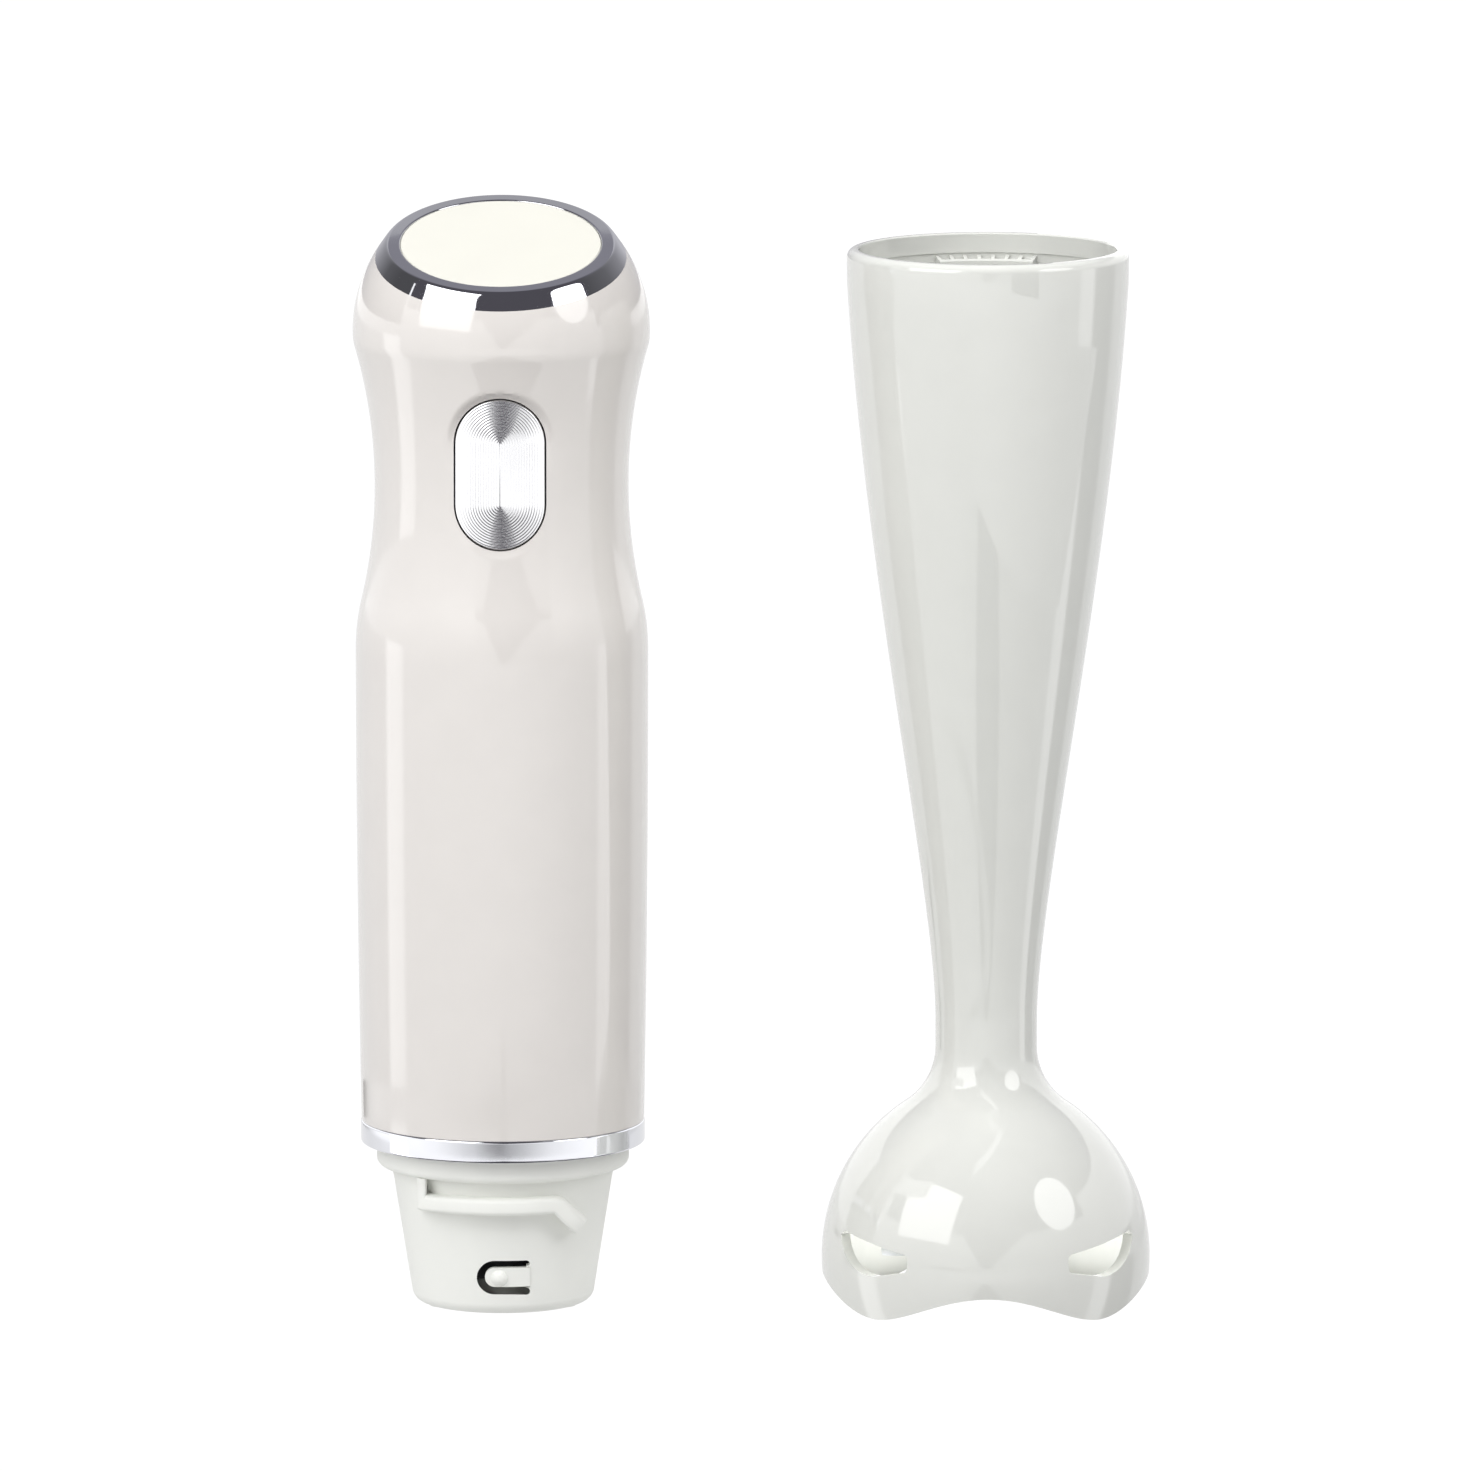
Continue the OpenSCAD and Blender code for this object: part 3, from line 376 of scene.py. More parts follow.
def cut(piece, *cutters):
    """Takes closed shapes out of a piece, then gives its old surfaces back their smooth normals."""
    before = piece.data
    before.calc_loop_triangles()
    corners = [n.vector.copy() for n in before.corner_normals]
    triangles = [tuple(t.vertices) for t in before.loop_triangles]
    loops = [tuple(t.loops) for t in before.loop_triangles]
    tree = BVHTree.FromPolygons([v.co for v in before.vertices], triangles)
    tools = []
    for i, shape in enumerate(cutters):
        tool = object_of(f"{piece.name}_cutter_{i}", mesh_of("cutter", shape))
        modifier = piece.modifiers.new("cut", "BOOLEAN")
        modifier.object = tool
        modifier.operation = "DIFFERENCE"
        modifier.solver = "EXACT"
        tools.append(tool)
    bpy.context.view_layer.update()
    after = bpy.data.meshes.new_from_object(piece.evaluated_get(bpy.context.evaluated_depsgraph_get()))
    piece.modifiers.clear()
    piece.data = after
    for tool in tools:
        bpy.data.objects.remove(tool)
    after.shade_smooth()
    after.set_sharp_from_angle(angle=math.radians(SHARP))
    normals = [n.vector.copy() for n in after.corner_normals]
    inward = 0.02  # looks a little inside each face, so that an edge finds its own side
    same_skin = 0.02 * MM
    same_facing = 0.9  # cosine between a face and a smooth normal that it may borrow
    for face in after.polygons:
        for k in face.loop_indices:
            corner = after.vertices[after.loops[k].vertex_index].co
            found, _, index, distance = tree.find_nearest(corner.lerp(face.center, inward))
            if found is None or distance > same_skin:
                continue
            triangle = [before.vertices[v].co for v in triangles[index]]
            weights = poly_3d_calc(triangle, found)
            smooth = sum((corners[j] * w for j, w in zip(loops[index], weights)), Vector())
            if smooth.length > 0.5 and smooth.normalized().dot(face.normal) > same_facing:
                normals[k] = smooth.normalized()
    after.normals_split_custom_set(normals)
    after.materials.clear()
    return piece


# ---- Finishes ----


def linear(code):
    """An sRGB hex colour as linear values with full alpha."""
    parts = [int(code[i:i + 2], 16) / 255 for i in (1, 3, 5)]
    return tuple(c / 12.92 if c <= 0.04045 else ((c + 0.055) / 1.055) ** 2.4 for c in parts) + (1,)


def add(tree, kind, settings=None, links=None):
    """Adds one shader node; settings are its properties or socket values, links feed its inputs."""
    node = tree.nodes.new(kind)
    for name, value in (settings or {}).items():
        if name in node.inputs:
            node.inputs[name].default_value = value
        else:
            setattr(node, name, value)
    for name, source in (links or {}).items():
        tree.links.new(source, node.inputs[name])
    return node


def blank(name):
    """A material with an empty node tree."""
    material = bpy.data.materials.new(name)
    material.use_nodes = True
    material.node_tree.nodes.clear()
    return material


def finish(name, colour, rough, tone=0.04, metal=0.0, grain=0.4, depth=0.002, mottle=9.0, coat=0.0,
           stretch=(1, 1, 1), ior=1.5, sheen=0.0):
    """A finish: colour that drifts by tone over mottle mm, roughness that drifts with it, and a surface
    grain of a size and depth in mm."""
    material = blank(name)
    tree = material.node_tree
    base = linear(colour)
    low, high = 0.3, 0.7  # where nearly all of the noise lies
    where = add(tree, "ShaderNodeTexCoord").outputs["Object"]
    spread = add(tree, "ShaderNodeMapping", {"Scale": stretch}, {"Vector": where}).outputs["Vector"]
    drift = add(tree, "ShaderNodeTexNoise", {"Scale": 1 / (mottle * MM), "Detail": 3.0, "Roughness": 0.55},
                {"Vector": spread}).outputs["Fac"]
    colours = add(tree, "ShaderNodeValToRGB", links={"Fac": drift})
    colours.color_ramp.elements[0].position = low
    colours.color_ramp.elements[0].color = tuple(c * (1 - tone) for c in base[:3]) + (1,)
    colours.color_ramp.elements[1].position = high
    colours.color_ramp.elements[1].color = tuple(min(1, c * (1 + tone / 2)) for c in base[:3]) + (1,)
    roughness = add(tree, "ShaderNodeMapRange",
                    {"From Min": low, "From Max": high, "To Min": rough[0], "To Max": rough[1]},
                    {"Value": drift})
    grains = add(tree, "ShaderNodeTexNoise", {"Scale": 1 / (grain * MM), "Detail": 2.0}, {"Vector": spread})
    bump = add(tree, "ShaderNodeBump", {"Strength": 1.0, "Distance": depth * MM},
               {"Height": grains.outputs["Fac"]})
    shader = add(tree, "ShaderNodeBsdfPrincipled",
                 {"Metallic": metal, "IOR": ior, "Coat Weight": coat, "Coat Roughness": rough[0] * 0.6,
                  "Sheen Weight": sheen},
                 {"Base Color": colours.outputs["Color"], "Roughness": roughness.outputs["Result"],
                  "Normal": bump.outputs["Normal"]})
    add(tree, "ShaderNodeOutputMaterial", links={"Surface": shader.outputs["BSDF"]})
    return material


finishes = {
    # Polished mould cavity: sharp reflections on a warm white ABS with a faint flow mottle
    "white_gloss": finish("injection_moulded_gloss_abs_white", "#D2CECA", (0.07, 0.11), tone=0.015, coat=0.7),
    # Creamier ABS disc; its moulded face is duller than the barrel's
    "cream_gloss": finish("injection_moulded_gloss_abs_cream", "#CDCCC3", (0.34, 0.4), tone=0.01),
    # Nickel-chrome plate over polished ABS
    "chrome": finish("bright_chrome_plate_on_abs", "#E4E5EA", (0.03, 0.06), tone=0.02, metal=1.0,
                     grain=3.0, depth=0.001),
    # Spark-eroded cavity: fine even matte grain
    "white_matte": finish("spark_eroded_matte_polypropylene", "#E9EAE5", (0.5, 0.6), tone=0.02,
                          grain=0.25, depth=0.006),
    # Polished polypropylene, slightly green-grey
    "foot_white": finish("injection_moulded_polypropylene_foot", "#CFD0CB", (0.06, 0.1), tone=0.015,
                         coat=0.7),
    # Clear anodised aluminium; its concentric grooves are in the mesh
    "spun_metal": finish("grooved_anodised_aluminium", "#F2F2F4", (0.12, 0.18), tone=0.02, metal=1.0,
                         grain=0.12, depth=0.0015),
    # Acetal, as moulded
    "grey_plastic": finish("moulded_acetal_grey", "#9A9DA0", (0.42, 0.52), depth=0.003),
    # Glass-filled nylon: dull, with a fibrous skin
    "dark_plastic": finish("moulded_glass_filled_nylon_black", "#3C3E42", (0.5, 0.65), grain=0.3,
                           depth=0.008, stretch=(1, 1, 3)),
    # Acetal socket liner
    "liner_white": finish("moulded_acetal_natural", "#DADBD7", (0.35, 0.45), tone=0.02, depth=0.003),
    # Nitrile rubber, press-moulded
    "rubber_black": finish("moulded_nitrile_rubber", "#262626", (0.6, 0.8), depth=0.006, sheen=0.1),
    # Pale thermoplastic rubber, satin from the mould
    "bush_rubber": finish("moulded_thermoplastic_rubber_pale", "#CECDC9", (0.5, 0.62), grain=0.3, depth=0.006,
                          sheen=0.1),
    # Centreless-ground or stamped stainless steel with fine lines along X
    "steel": finish("ground_stainless_steel", "#CFD1D3", (0.2, 0.3), metal=1.0, grain=0.15, depth=0.002,
                    stretch=(0.15, 1, 1)),
    # Bright zinc on steel: faint cloudy passivation
    "zinc_steel": finish("zinc_plated_steel", "#BFC2C5", (0.28, 0.42), tone=0.08, metal=1.0, mottle=4.0,
                         depth=0.002),
    # Sintered ferrite, ground faces
    "magnet": finish("sintered_ferrite", "#5E5F61", (0.5, 0.6), tone=0.1, mottle=2.0, grain=0.2, depth=0.01),
    # Punched electrical steel: 0.5 mm sheets seen edge on
    "laminations": finish("stacked_electrical_steel", "#9A9CA0", (0.35, 0.5), tone=0.1, metal=1.0,
                          grain=0.5, depth=0.02, stretch=(0.02, 0.02, 1)),
    # Enamelled copper wire, 0.4 mm, varnished
    "copper": finish("enamelled_copper_winding", "#B4673A", (0.25, 0.35), metal=1.0, grain=0.4, depth=0.05,
                     coat=0.5, stretch=(0.3, 0.3, 1)),
    # Oil-filled sintered bronze: open pores
    "bronze": finish("sintered_bronze", "#A9814F", (0.35, 0.5), tone=0.12, metal=1.0, mottle=1.5,
                     grain=0.15, depth=0.015),
    # Rolled and plated spring strip
    "spring_brass": finish("rolled_spring_brass", "#C4A35A", (0.22, 0.32), metal=1.0, grain=0.1, depth=0.002,
                           stretch=(1, 1, 0.2)),
    # Pressed carbon brush
    "carbon": finish("pressed_carbon_graphite", "#2C2C2E", (0.45, 0.6), tone=0.15, grain=0.1, depth=0.01),
    # Solder mask over woven glass laminate
    "board_green": finish("solder_masked_laminate", "#2F6B3F", (0.25, 0.35), tone=0.1, mottle=1.2, grain=0.6,
                          depth=0.01, coat=0.4),
    # Dipped epoxy coating
    "part_blue": finish("epoxy_dipped_component", "#3F5E96", (0.15, 0.25), depth=0.004, grain=1.0),
    # Red acetal plunger
    "plunger_red": finish("moulded_acetal_red", "#BC4034", (0.3, 0.4), depth=0.003),
    # Natural nylon fan
    "fan_nylon": finish("moulded_nylon_natural", "#D4D3CC", (0.4, 0.5), tone=0.03, depth=0.004),
    # Extruded PVC insulation
    "lead_brown": finish("extruded_pvc_brown", "#79543A", (0.35, 0.45), depth=0.002),
    "lead_red": finish("extruded_pvc_red", "#9E332B", (0.35, 0.45), depth=0.002),
}

slot_of = {part["node"]: part["material_slot"] for part in frame["record"]["subparts"]}
for node, cad_mesh in frame["nodes"].items():
    cad_mesh.data.materials.clear()
    cad_mesh.data.materials.append(finishes[slot_of[node]])


def stand_for(node, piece):
    """The piece is shown in place of a CAD node, with that node's body, slot and finish."""
    body = next(b for b, members in frame["record"]["behaviour"]["bodies"].items() if node in members)
    slot = slot_of[node]
    piece.data.materials.append(finishes[slot])
    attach(piece, body)
    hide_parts(node)
    return piece


# ---- Handset ----


def stadium(radius, steps=28):
    """Front-view outline of the button's shape, round ends at the top and bottom."""
    return (arc((0, button_z + button_half), radius, 0, 180, steps)
            + arc((0, button_z - button_half), radius, 180, 360, steps))


def sphere_cut_angle(azimuth, radius):
    """Latitude at which the shoulder's sphere meets the tilted seat plane."""
    a = math.cos(top_tilt)
    b = -math.sin(top_tilt) * math.sin(azimuth)
    return math.asin(top_seat / radius / math.hypot(a, b)) - math.atan2(b, a)


def dished(x, y, z):
    """Presses the skin in round the button, down to the cylinder that the button's face lies on."""
    off = max(abs(z - button_z) - button_half, 0)
    past = math.hypot(x, off) - button_r - button_gap
    radius = math.hypot(x, y)
    if y > 0 or past > dish or radius <= button_front_r:
        return x, y, z
    share = min(1, max(0, 1 - past / dish))
    share = share * share * (3 - 2 * share)
    scale = 1 - (radius - button_front_r) / radius * share
    return x * scale, y * scale, z


def grip_row(outline_point, segments):
    return [dished(*p) for p in circle(*outline_point, segments)]


def shoulder_row(share, start, radius, segments):
    row = []
    for k in range(segments):
        azimuth = TAU * k / segments
        latitude = math.radians(start) * (1 - share) + sphere_cut_angle(azimuth, radius) * share
        flat = radius * math.cos(latitude)
        row.append((flat * math.cos(azimuth), flat * math.sin(azimuth),
                    shoulder_z + radius * math.sin(latitude)))
    return row


def grip_skin():
    segments = 360
    outer, start = grip_outline(0)
    rows = [grip_row(p, segments) for p in outer]
    rows += [shoulder_row(i / 20, start, shoulder_r, segments) for i in range(1, 21)]
    inner, start = grip_outline(grip_wall)
    inner_rows = [circle(r, z, segments) for r, z in inner[::3]]
    inner_rows += [shoulder_row(i / 8, start, shoulder_r - grip_wall, segments) for i in range(1, 9)]
    skin = at_handset(loft(rows + inner_rows[::-1], wrap=True))
    piece = object_of("grip_skin", mesh_of("grip_skin", skin))
    lead_hole = place(lathe([(lead_hole_r, 0), (lead_hole_r, 20)], 48, wrap=False),
                      Matrix.Translation((0, 18, lead_hole_z)) @ Matrix.Rotation(-math.pi / 2, 4, "X"))
    return cut(piece, at_handset(prism(stadium(button_r + button_gap), -40, -10)), at_handset(lead_hole))


stand_for("grip_shell", grip_skin())

# A second point just past each rounding keeps the flat faces flat in the shading.
ring_outline = (
    [(cap_r - cap_ledge, -skirt_h), (mouth_top_r - SEAM, -skirt_h), (mouth_top_r - SEAM, 0)]
    + bezier([(seat_r, 0), (seat_r - ring_bevel * 0.55, ring_rise * 0.7),
              (seat_r - ring_bevel * 0.75, ring_rise), (ring_top_r, ring_rise)], 14)
    + [(ring_top_r - 0.1, ring_rise), (cap_r + 0.4, ring_rise)]
    + arc((cap_r + SEAM + ring_lip, ring_rise - ring_lip), ring_lip, 90, 180, 3)
    + [(cap_r + SEAM, cap_seat), (cap_r - cap_ledge, cap_seat)]
)
stand_for("top_ring", object_of("top_ring_skin", mesh_of("top_ring_skin", at_top(lathe(ring_outline)))))

cap_top = ring_rise - cap_drop
cap_centre_r = 0.01
cap_outline = (
    [(cap_centre_r, cap_seat), (cap_r - cap_skirt[0], cap_seat), (cap_r - cap_skirt[0], -skirt_h),
     (cap_r - cap_skirt[1], -skirt_h), (cap_r - cap_skirt[1], cap_seat), (cap_r, cap_seat)]
    + arc((cap_r - cap_round, cap_top - cap_round), cap_round, 0, 90, 4)
    + [(cap_r - cap_round - 0.1, cap_top), (cap_r - 1.5, cap_top), (cap_centre_r, cap_top)]
)
stand_for("top_cap", object_of("top_cap_skin", mesh_of("top_cap_skin", at_top(lathe(cap_outline)))))

band_edge = 0.45
band_flat = band_edge + 0.08
band_outline = (
    [(neck_r + SEAM, step_top)]
    + arc((trim_r - band_edge, step_top + band_edge), band_edge, -90, 0, 5)
    + [(trim_r, step_top + band_flat), (trim_r, grip_z0 - band_flat)]
    + arc((trim_r - band_edge, grip_z0 - band_edge), band_edge, 0, 90, 5)
    + [(neck_r + SEAM, grip_z0)]
)
band = mesh_of("trim_ring_skin", at_handset(lathe(band_outline)))
stand_for("trim_ring", object_of("trim_ring_skin", band))


def button_skin():
    """Cap with concentric grooves that follow its outline, on a face curved with the waist."""
    def ring(front, inset):
        return [(x, -math.sqrt(front ** 2 - x ** 2), z) for x, z in stadium(button_r - inset, 48)]

    rings = [ring(button_front_r - cap_t, 0), ring(button_front_r - cap_edge, 0)]
    inset = 0.0
    while inset < button_r - SEAM:
        rounding = cap_edge - math.sqrt(max(0, cap_edge ** 2 - (cap_edge - min(inset, cap_edge)) ** 2))
        phase = (inset - cap_edge) / groove_pitch
        groove = groove_depth * (0.5 - 0.5 * math.cos(TAU * phase)) if inset > cap_edge else 0
        rings.append(ring(button_front_r - rounding - groove, inset))
        inset += cap_edge / 5 if inset < cap_edge else groove_pitch / 6
    return mesh_of("button_skin", at_handset(loft(rings, caps=True)), sharp=60)


stand_for("button_cap", object_of("button_skin", button_skin()))


def spring_shape():
    """Helical spring of round wire about the button's axis."""
    turns, steps, sides = 4, 32, 10
    y0, y1 = spring_low.y + spring_wire, spring_high.y - spring_wire
    coil_r = (spring_high.x - spring_low.x) / 2 - spring_wire
    rings = []
    for i in range(turns * steps + 1):
        outward = Vector((math.cos(TAU * i / steps), 0, math.sin(TAU * i / steps)))
        centre = Vector((0, y0 + (y1 - y0) * i / (turns * steps), button_z)) + coil_r * outward
        rings.append([tuple(centre + spring_wire * (math.cos(TAU * k / sides) * outward
                                                    + math.sin(TAU * k / sides) * Vector((0, 1, 0))))
                      for k in range(sides)])
    return loft(rings, caps=True)


spring = object_of("button_spring_coil", mesh_of("button_spring_coil", at_handset(spring_shape())))
stand_for("button_spring", spring)
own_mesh(spring)


def rib_section(along, thickness, reach, z0, x0):
    """A section of a rib on the cone: along is its direction in the front view, reach its radius."""
    side = (-along[1], along[0])
    half = thickness / 2
    edge = min(rib_edge, half * 0.9)
    profile = [(-half, None), (-half, reach - edge)]
    profile += [(-half + edge - edge * math.cos(t), reach - edge + edge * math.sin(t))
                for t in (math.pi / 8 * k for k in (1, 2, 3, 4))]
    profile += [(-a, b) for a, b in profile[::-1]]
    ring = []
    for offset, radius in profile:
        x = x0 + offset * side[0]
        z = z0 + offset * side[1]
        radius = radius if radius is not None else cone_r(z) - rib_root
        ring.append((x, -math.sqrt(radius ** 2 - x ** 2), z))
    return ring


def rib_shape():
    """The hooked rib: an upright stop, a level run and a lead-in ramp that slopes down from it."""
    level_z = rib_top - rib_t / 2
    end = Vector((rib_right + ramp_x - 1.3, rib_top - ramp_drop - rib_t * 0.45))
    slope = (end - Vector((rib_right, level_z))).normalized()
    path = [((rib_left - stop_w + 0.1 + i, level_z), (1, 0)) for i in range(25)]
    for i in range(7):
        t = i / 6
        x = rib_right - ramp_turn + 2 * ramp_turn * t - 0.1 * t * t
        path.append(((x, level_z - 0.4 * t * t), tuple(Vector((1, 0)).slerp(slope, t))))
    last = Vector(path[-1][0])
    path += [(tuple(last.lerp(end, i / 5)), tuple(slope)) for i in range(1, 6)]
    rings = []
    for i, (spot, along) in enumerate(path):
        inward = min(i, len(path) - 1 - i)
        lower = 0.5 if inward == 0 else 0.12 if inward == 1 and i > 2 else 0  # rounds the ends off
        rings.append(rib_section(along, rib_t, rib_r - lower, spot[1], spot[0]))
    stop = [rib_section((0, 1), stop_w, rib_r, rib_top - rib_t + 0.6 + i, rib_left - stop_w / 2)
            for i in range(7)]
    return join(loft(rings, caps=True), loft(stop, caps=True))


def window_outline(margin):
    """The tab's window, opened by a margin; its two slots end in full rounds beside the tab's root."""
    half = tab_window_h / 2 + margin
    round_r = tab_slot / 2
    root = tab_root_x - tab_root_gap
    upper = (root - round_r, tab_z + half - round_r)
    lower = (root - round_r, tab_z - half + round_r)
    return (arc((tab_left_x, tab_z), half, 90, 270, 24)
            + arc(lower, round_r, -90, 90, 8) + [(root, lower[1] + round_r)]
            + [(root, upper[1] - round_r)] + arc(upper, round_r, -90, 90, 8))


def window_cutter():
    """Straight through the outer skin of the collar, then flaring behind it."""
    skin_y = -cone_r(tab_z) + window_skin
    depths = ((-cone_top_r - 4, 0), (skin_y, 0), (-cone_r(0) / 2, window_flare))
    return loft([[(x, y, z) for x, z in window_outline(margin)] for y, margin in depths], caps=True)


def collar_skin():
    """The collar's cone, step and neck as one turned wall, and a second piece with its pads and ribs."""
    outline = (
        [(dog_hole_r, 0)]
        + arc((cone_r(0) - end_round, end_round), end_round, -90, -math.degrees(cone_draft), 12)
        + [(cone_top_r - 0.4, cone_h - cone_end)]
        + arc((cone_top_r + root_fillet, cone_h - root_fillet), root_fillet, 180, 90, 4)
        + arc((step_r - step_round, cone_h + step_round), step_round, -90, 0, 8)
        + [(step_r, step_top - 0.2), (step_r - 0.2, step_top), (neck_r, step_top)]
        + [(neck_r, neck_top), (neck_r - collar_wall, neck_top), (neck_r - collar_wall, step_top - 1)]
        + [(cone_top_r - collar_wall, cone_h), (cone_r(collar_floor) - collar_wall, collar_floor)]
        + [(dog_hole_r, collar_floor)]
    )
    piece = object_of("collar_skin", mesh_of("collar_skin", at_handset(lathe(outline))))
    half_turn = Matrix.Rotation(math.pi, 4, "Z")
    window = window_cutter()
    pads, pockets = [], []
    for angle in screw_angles:
        spot = Matrix.Rotation(math.radians(angle), 4, "Z") @ Matrix.Translation((screw_circle, 0, 0))
        pad = lathe([(screw_head_r, 0), (pad_r, 0), (pad_r, pad_top), (screw_r, pad_top),
                     (screw_r, head_seat), (screw_head_r, head_seat)], 48)
        pocket = lathe([(pad_r, -1), (pad_r, collar_floor + 1)], 48, wrap=False)
        pads.append(at_handset(place(pad, spot)))
        pockets.append(at_handset(place(pocket, spot)))
    cut(piece, at_handset(window), at_handset(place(window, half_turn)), *pockets)
    ribs = [at_handset(rib_shape()), at_handset(place(rib_shape(), half_turn))]
    sleeve = at_handset(lathe([(dog_hole_r + SEAM, 1), (sleeve_r, 1), (sleeve_r, sleeve_top),
                               (dog_hole_r + SEAM, sleeve_top)], 96))
    extras = object_of("collar_ribs", mesh_of("collar_ribs", join(*pads, *ribs, sleeve), sharp=40))
    return piece, extras


collar_piece, collar_ribs = collar_skin()
stand_for("collar", collar_piece)
stand_for("collar", collar_ribs)

# ---- Blending foot ----


def bell_edge(azimuth):
    """Height of the bell's rim: four lobes on the floor at the diagonals, four arches between them."""
    return arch_h * (0.5 + 0.5 * math.cos(4 * azimuth)) ** 0.9


def radius_on(outline, z):
    """Radius of an outline at a height; below its first point it keeps that point's radius."""
    if z <= outline[0][1]:
        return outline[0][0]
    return next(a[0] + (b[0] - a[0]) * (z - a[1]) / (b[1] - a[1])
                for a, b in zip(outline, outline[1:]) if a[1] <= z <= b[1])


def foot_rows(outline, segments, low_rows=14, low_top=13.0):
    """Rows over an outline, the lowest ones gathered towards the waved rim."""
    rows = []
    for i in range(low_rows):
        row = []
        for k in range(segments):
            azimuth = TAU * k / segments
            rim = bell_edge(azimuth)
            z = rim + (low_top - rim) * i / low_rows
            r = radius_on(outline, z)
            row.append((r * math.cos(azimuth), r * math.sin(azimuth), z))
        rows.append(row)
    rows += [circle(r, z, segments) for r, z in outline if z >= low_top]
    return rows


def foot_skin():
    """Stem and bell as one wall, from the waved rim up outside to the mouth and down again inside."""
    segments = 288
    angle = bell_top_angle()
    low = math.degrees(math.asin(-bell_widest_z / bell_arc))
    outer = arc(bell_c, bell_arc, low, angle, 60)
    outer += arc(foot_neck_c, neck_arc, 180 + angle, 180, 24)[1:]
    outer += stem_outline(0)[1:]
    lip_r = rim_r + lip_proud
    outer += [(lip_r, foot_h - lip_h / 2), (lip_r, foot_h - lip_round)]
    outer += arc((lip_r - lip_round, foot_h - lip_round), lip_round, 10, 90, 8)
    inner_arc = bell_arc - foot_wall
    top_in = angle + 8
    inner_bell = arc(bell_c, inner_arc, math.degrees(math.asin(-bell_widest_z / inner_arc)), top_in, 40)
    inner_bell += [(boss_r, inner_bell[-1][1] + 0.01)]
    inner_rows = foot_rows(inner_bell, segments)
    inside = [(boss_r, boss_z0), (tube_r, boss_z0), (tube_r, stem_in_z), (foot_neck_r - foot_wall, stem_in_z)]
    inside += [(r, z) for r, z in stem_outline(foot_wall) if z > stem_in_z + 2]
    relief = mouth_r + mouth_relief
    inside += [(relief, foot_h - lip_h + 0.2), (relief, foot_h - mouth_land), (mouth_r, foot_h - mouth_land),
               (mouth_r, foot_h - mouth_relief), (relief, foot_h)]
    inner_rows += [circle(r, z, segments) for r, z in inside]
    outer_rows = foot_rows(outer, segments)
    edge = []
    for share in (0.12, 0.5, 0.88):
        sag = Vector((0, 0, rim_sag * math.sin(math.pi * share)))
        edge.append([Vector(a).lerp(Vector(b), share) - sag for a, b in zip(inner_rows[0], outer_rows[0])])
    lowest = min(0, min(p.z for row in edge for p in row))  # the rounded rim is lifted back onto the floor
    edge = [[(p.x, p.y, p.z - lowest) for p in row] for row in edge]
    rows = edge + outer_rows + inner_rows[::-1]
    piece = object_of("foot_skin", mesh_of("foot_skin", at_foot(loft(rows, wrap=True))))
    slot = ([slot_tip] + arc(slot_c, slot_arc, -24, -97, 16)
            + arc((slot_end + slot_round, slot_low + slot_round), slot_round, -90, -180, 6)
            + arc((slot_end + slot_round, slot_high - slot_round), slot_round, 180, 100, 6))
    diagonal = place(prism(slot, -2 * bell_r, -5), Matrix.Rotation(math.radians(45), 4, "Z"))
    return cut(piece, *(at_foot(place(diagonal, Matrix.Diagonal((flip_x, flip_y, 1, 1))))
                        for flip_x in (1, -1) for flip_y in (1, -1)))


def lug_shape():
    """Toothed ledge inside the mouth, with its gussets."""
    half = math.asin(lug_w / 2 / (lug_r + 1))
    z0 = lug_top - lug_t
    rooted_r = mouth_r + 1
    section = [(rooted_r, z0), (lug_r + lug_edge, z0), (lug_r, z0 + lug_edge), (lug_r, lug_top - lug_edge),
               (lug_r + lug_edge, lug_top), (rooted_r, lug_top)]
    rings = []
    for i in range(25):
        azimuth = -math.pi / 2 - half + 2 * half * i / 24
        rings.append([(r * math.cos(azimuth), r * math.sin(azimuth), z) for r, z in section])
    teeth = []
    for i in range(gussets):
        azimuth = -math.pi / 2 + half * 0.96 * (2 * i / (gussets - 1) - 1)
        wedge = [(lug_r + 0.2, lug_top - 0.2), (rooted_r, lug_top + gusset_rise), (rooted_r, lug_top - 0.2)]
        sides = [[(r, side * gusset_w / 2, z) for r, z in wedge] for side in (-1, 1)]
        teeth.append(place(loft(sides, caps=True), Matrix.Rotation(azimuth, 4, "Z")))
    return join(loft(rings, caps=True), *teeth)


stand_for("foot_shell", foot_skin())
lugs = join(lug_shape(), place(lug_shape(), Matrix.Rotation(math.pi, 4, "Z")))
stand_for("foot_shell", object_of("mouth_lugs", mesh_of("mouth_lugs", at_foot(lugs))))

# ---- Floor, light tent and lamps: metres, and azimuths that are 0 towards the camera ----


def glow(name, strength):
    """Evenly lit white cloth or paper."""
    material = blank(name)
    tree = material.node_tree
    light = add(tree, "ShaderNodeEmission", {"Color": linear("#FFFFFF"), "Strength": strength})
    add(tree, "ShaderNodeOutputMaterial", links={"Surface": light.outputs["Emission"]})
    return material


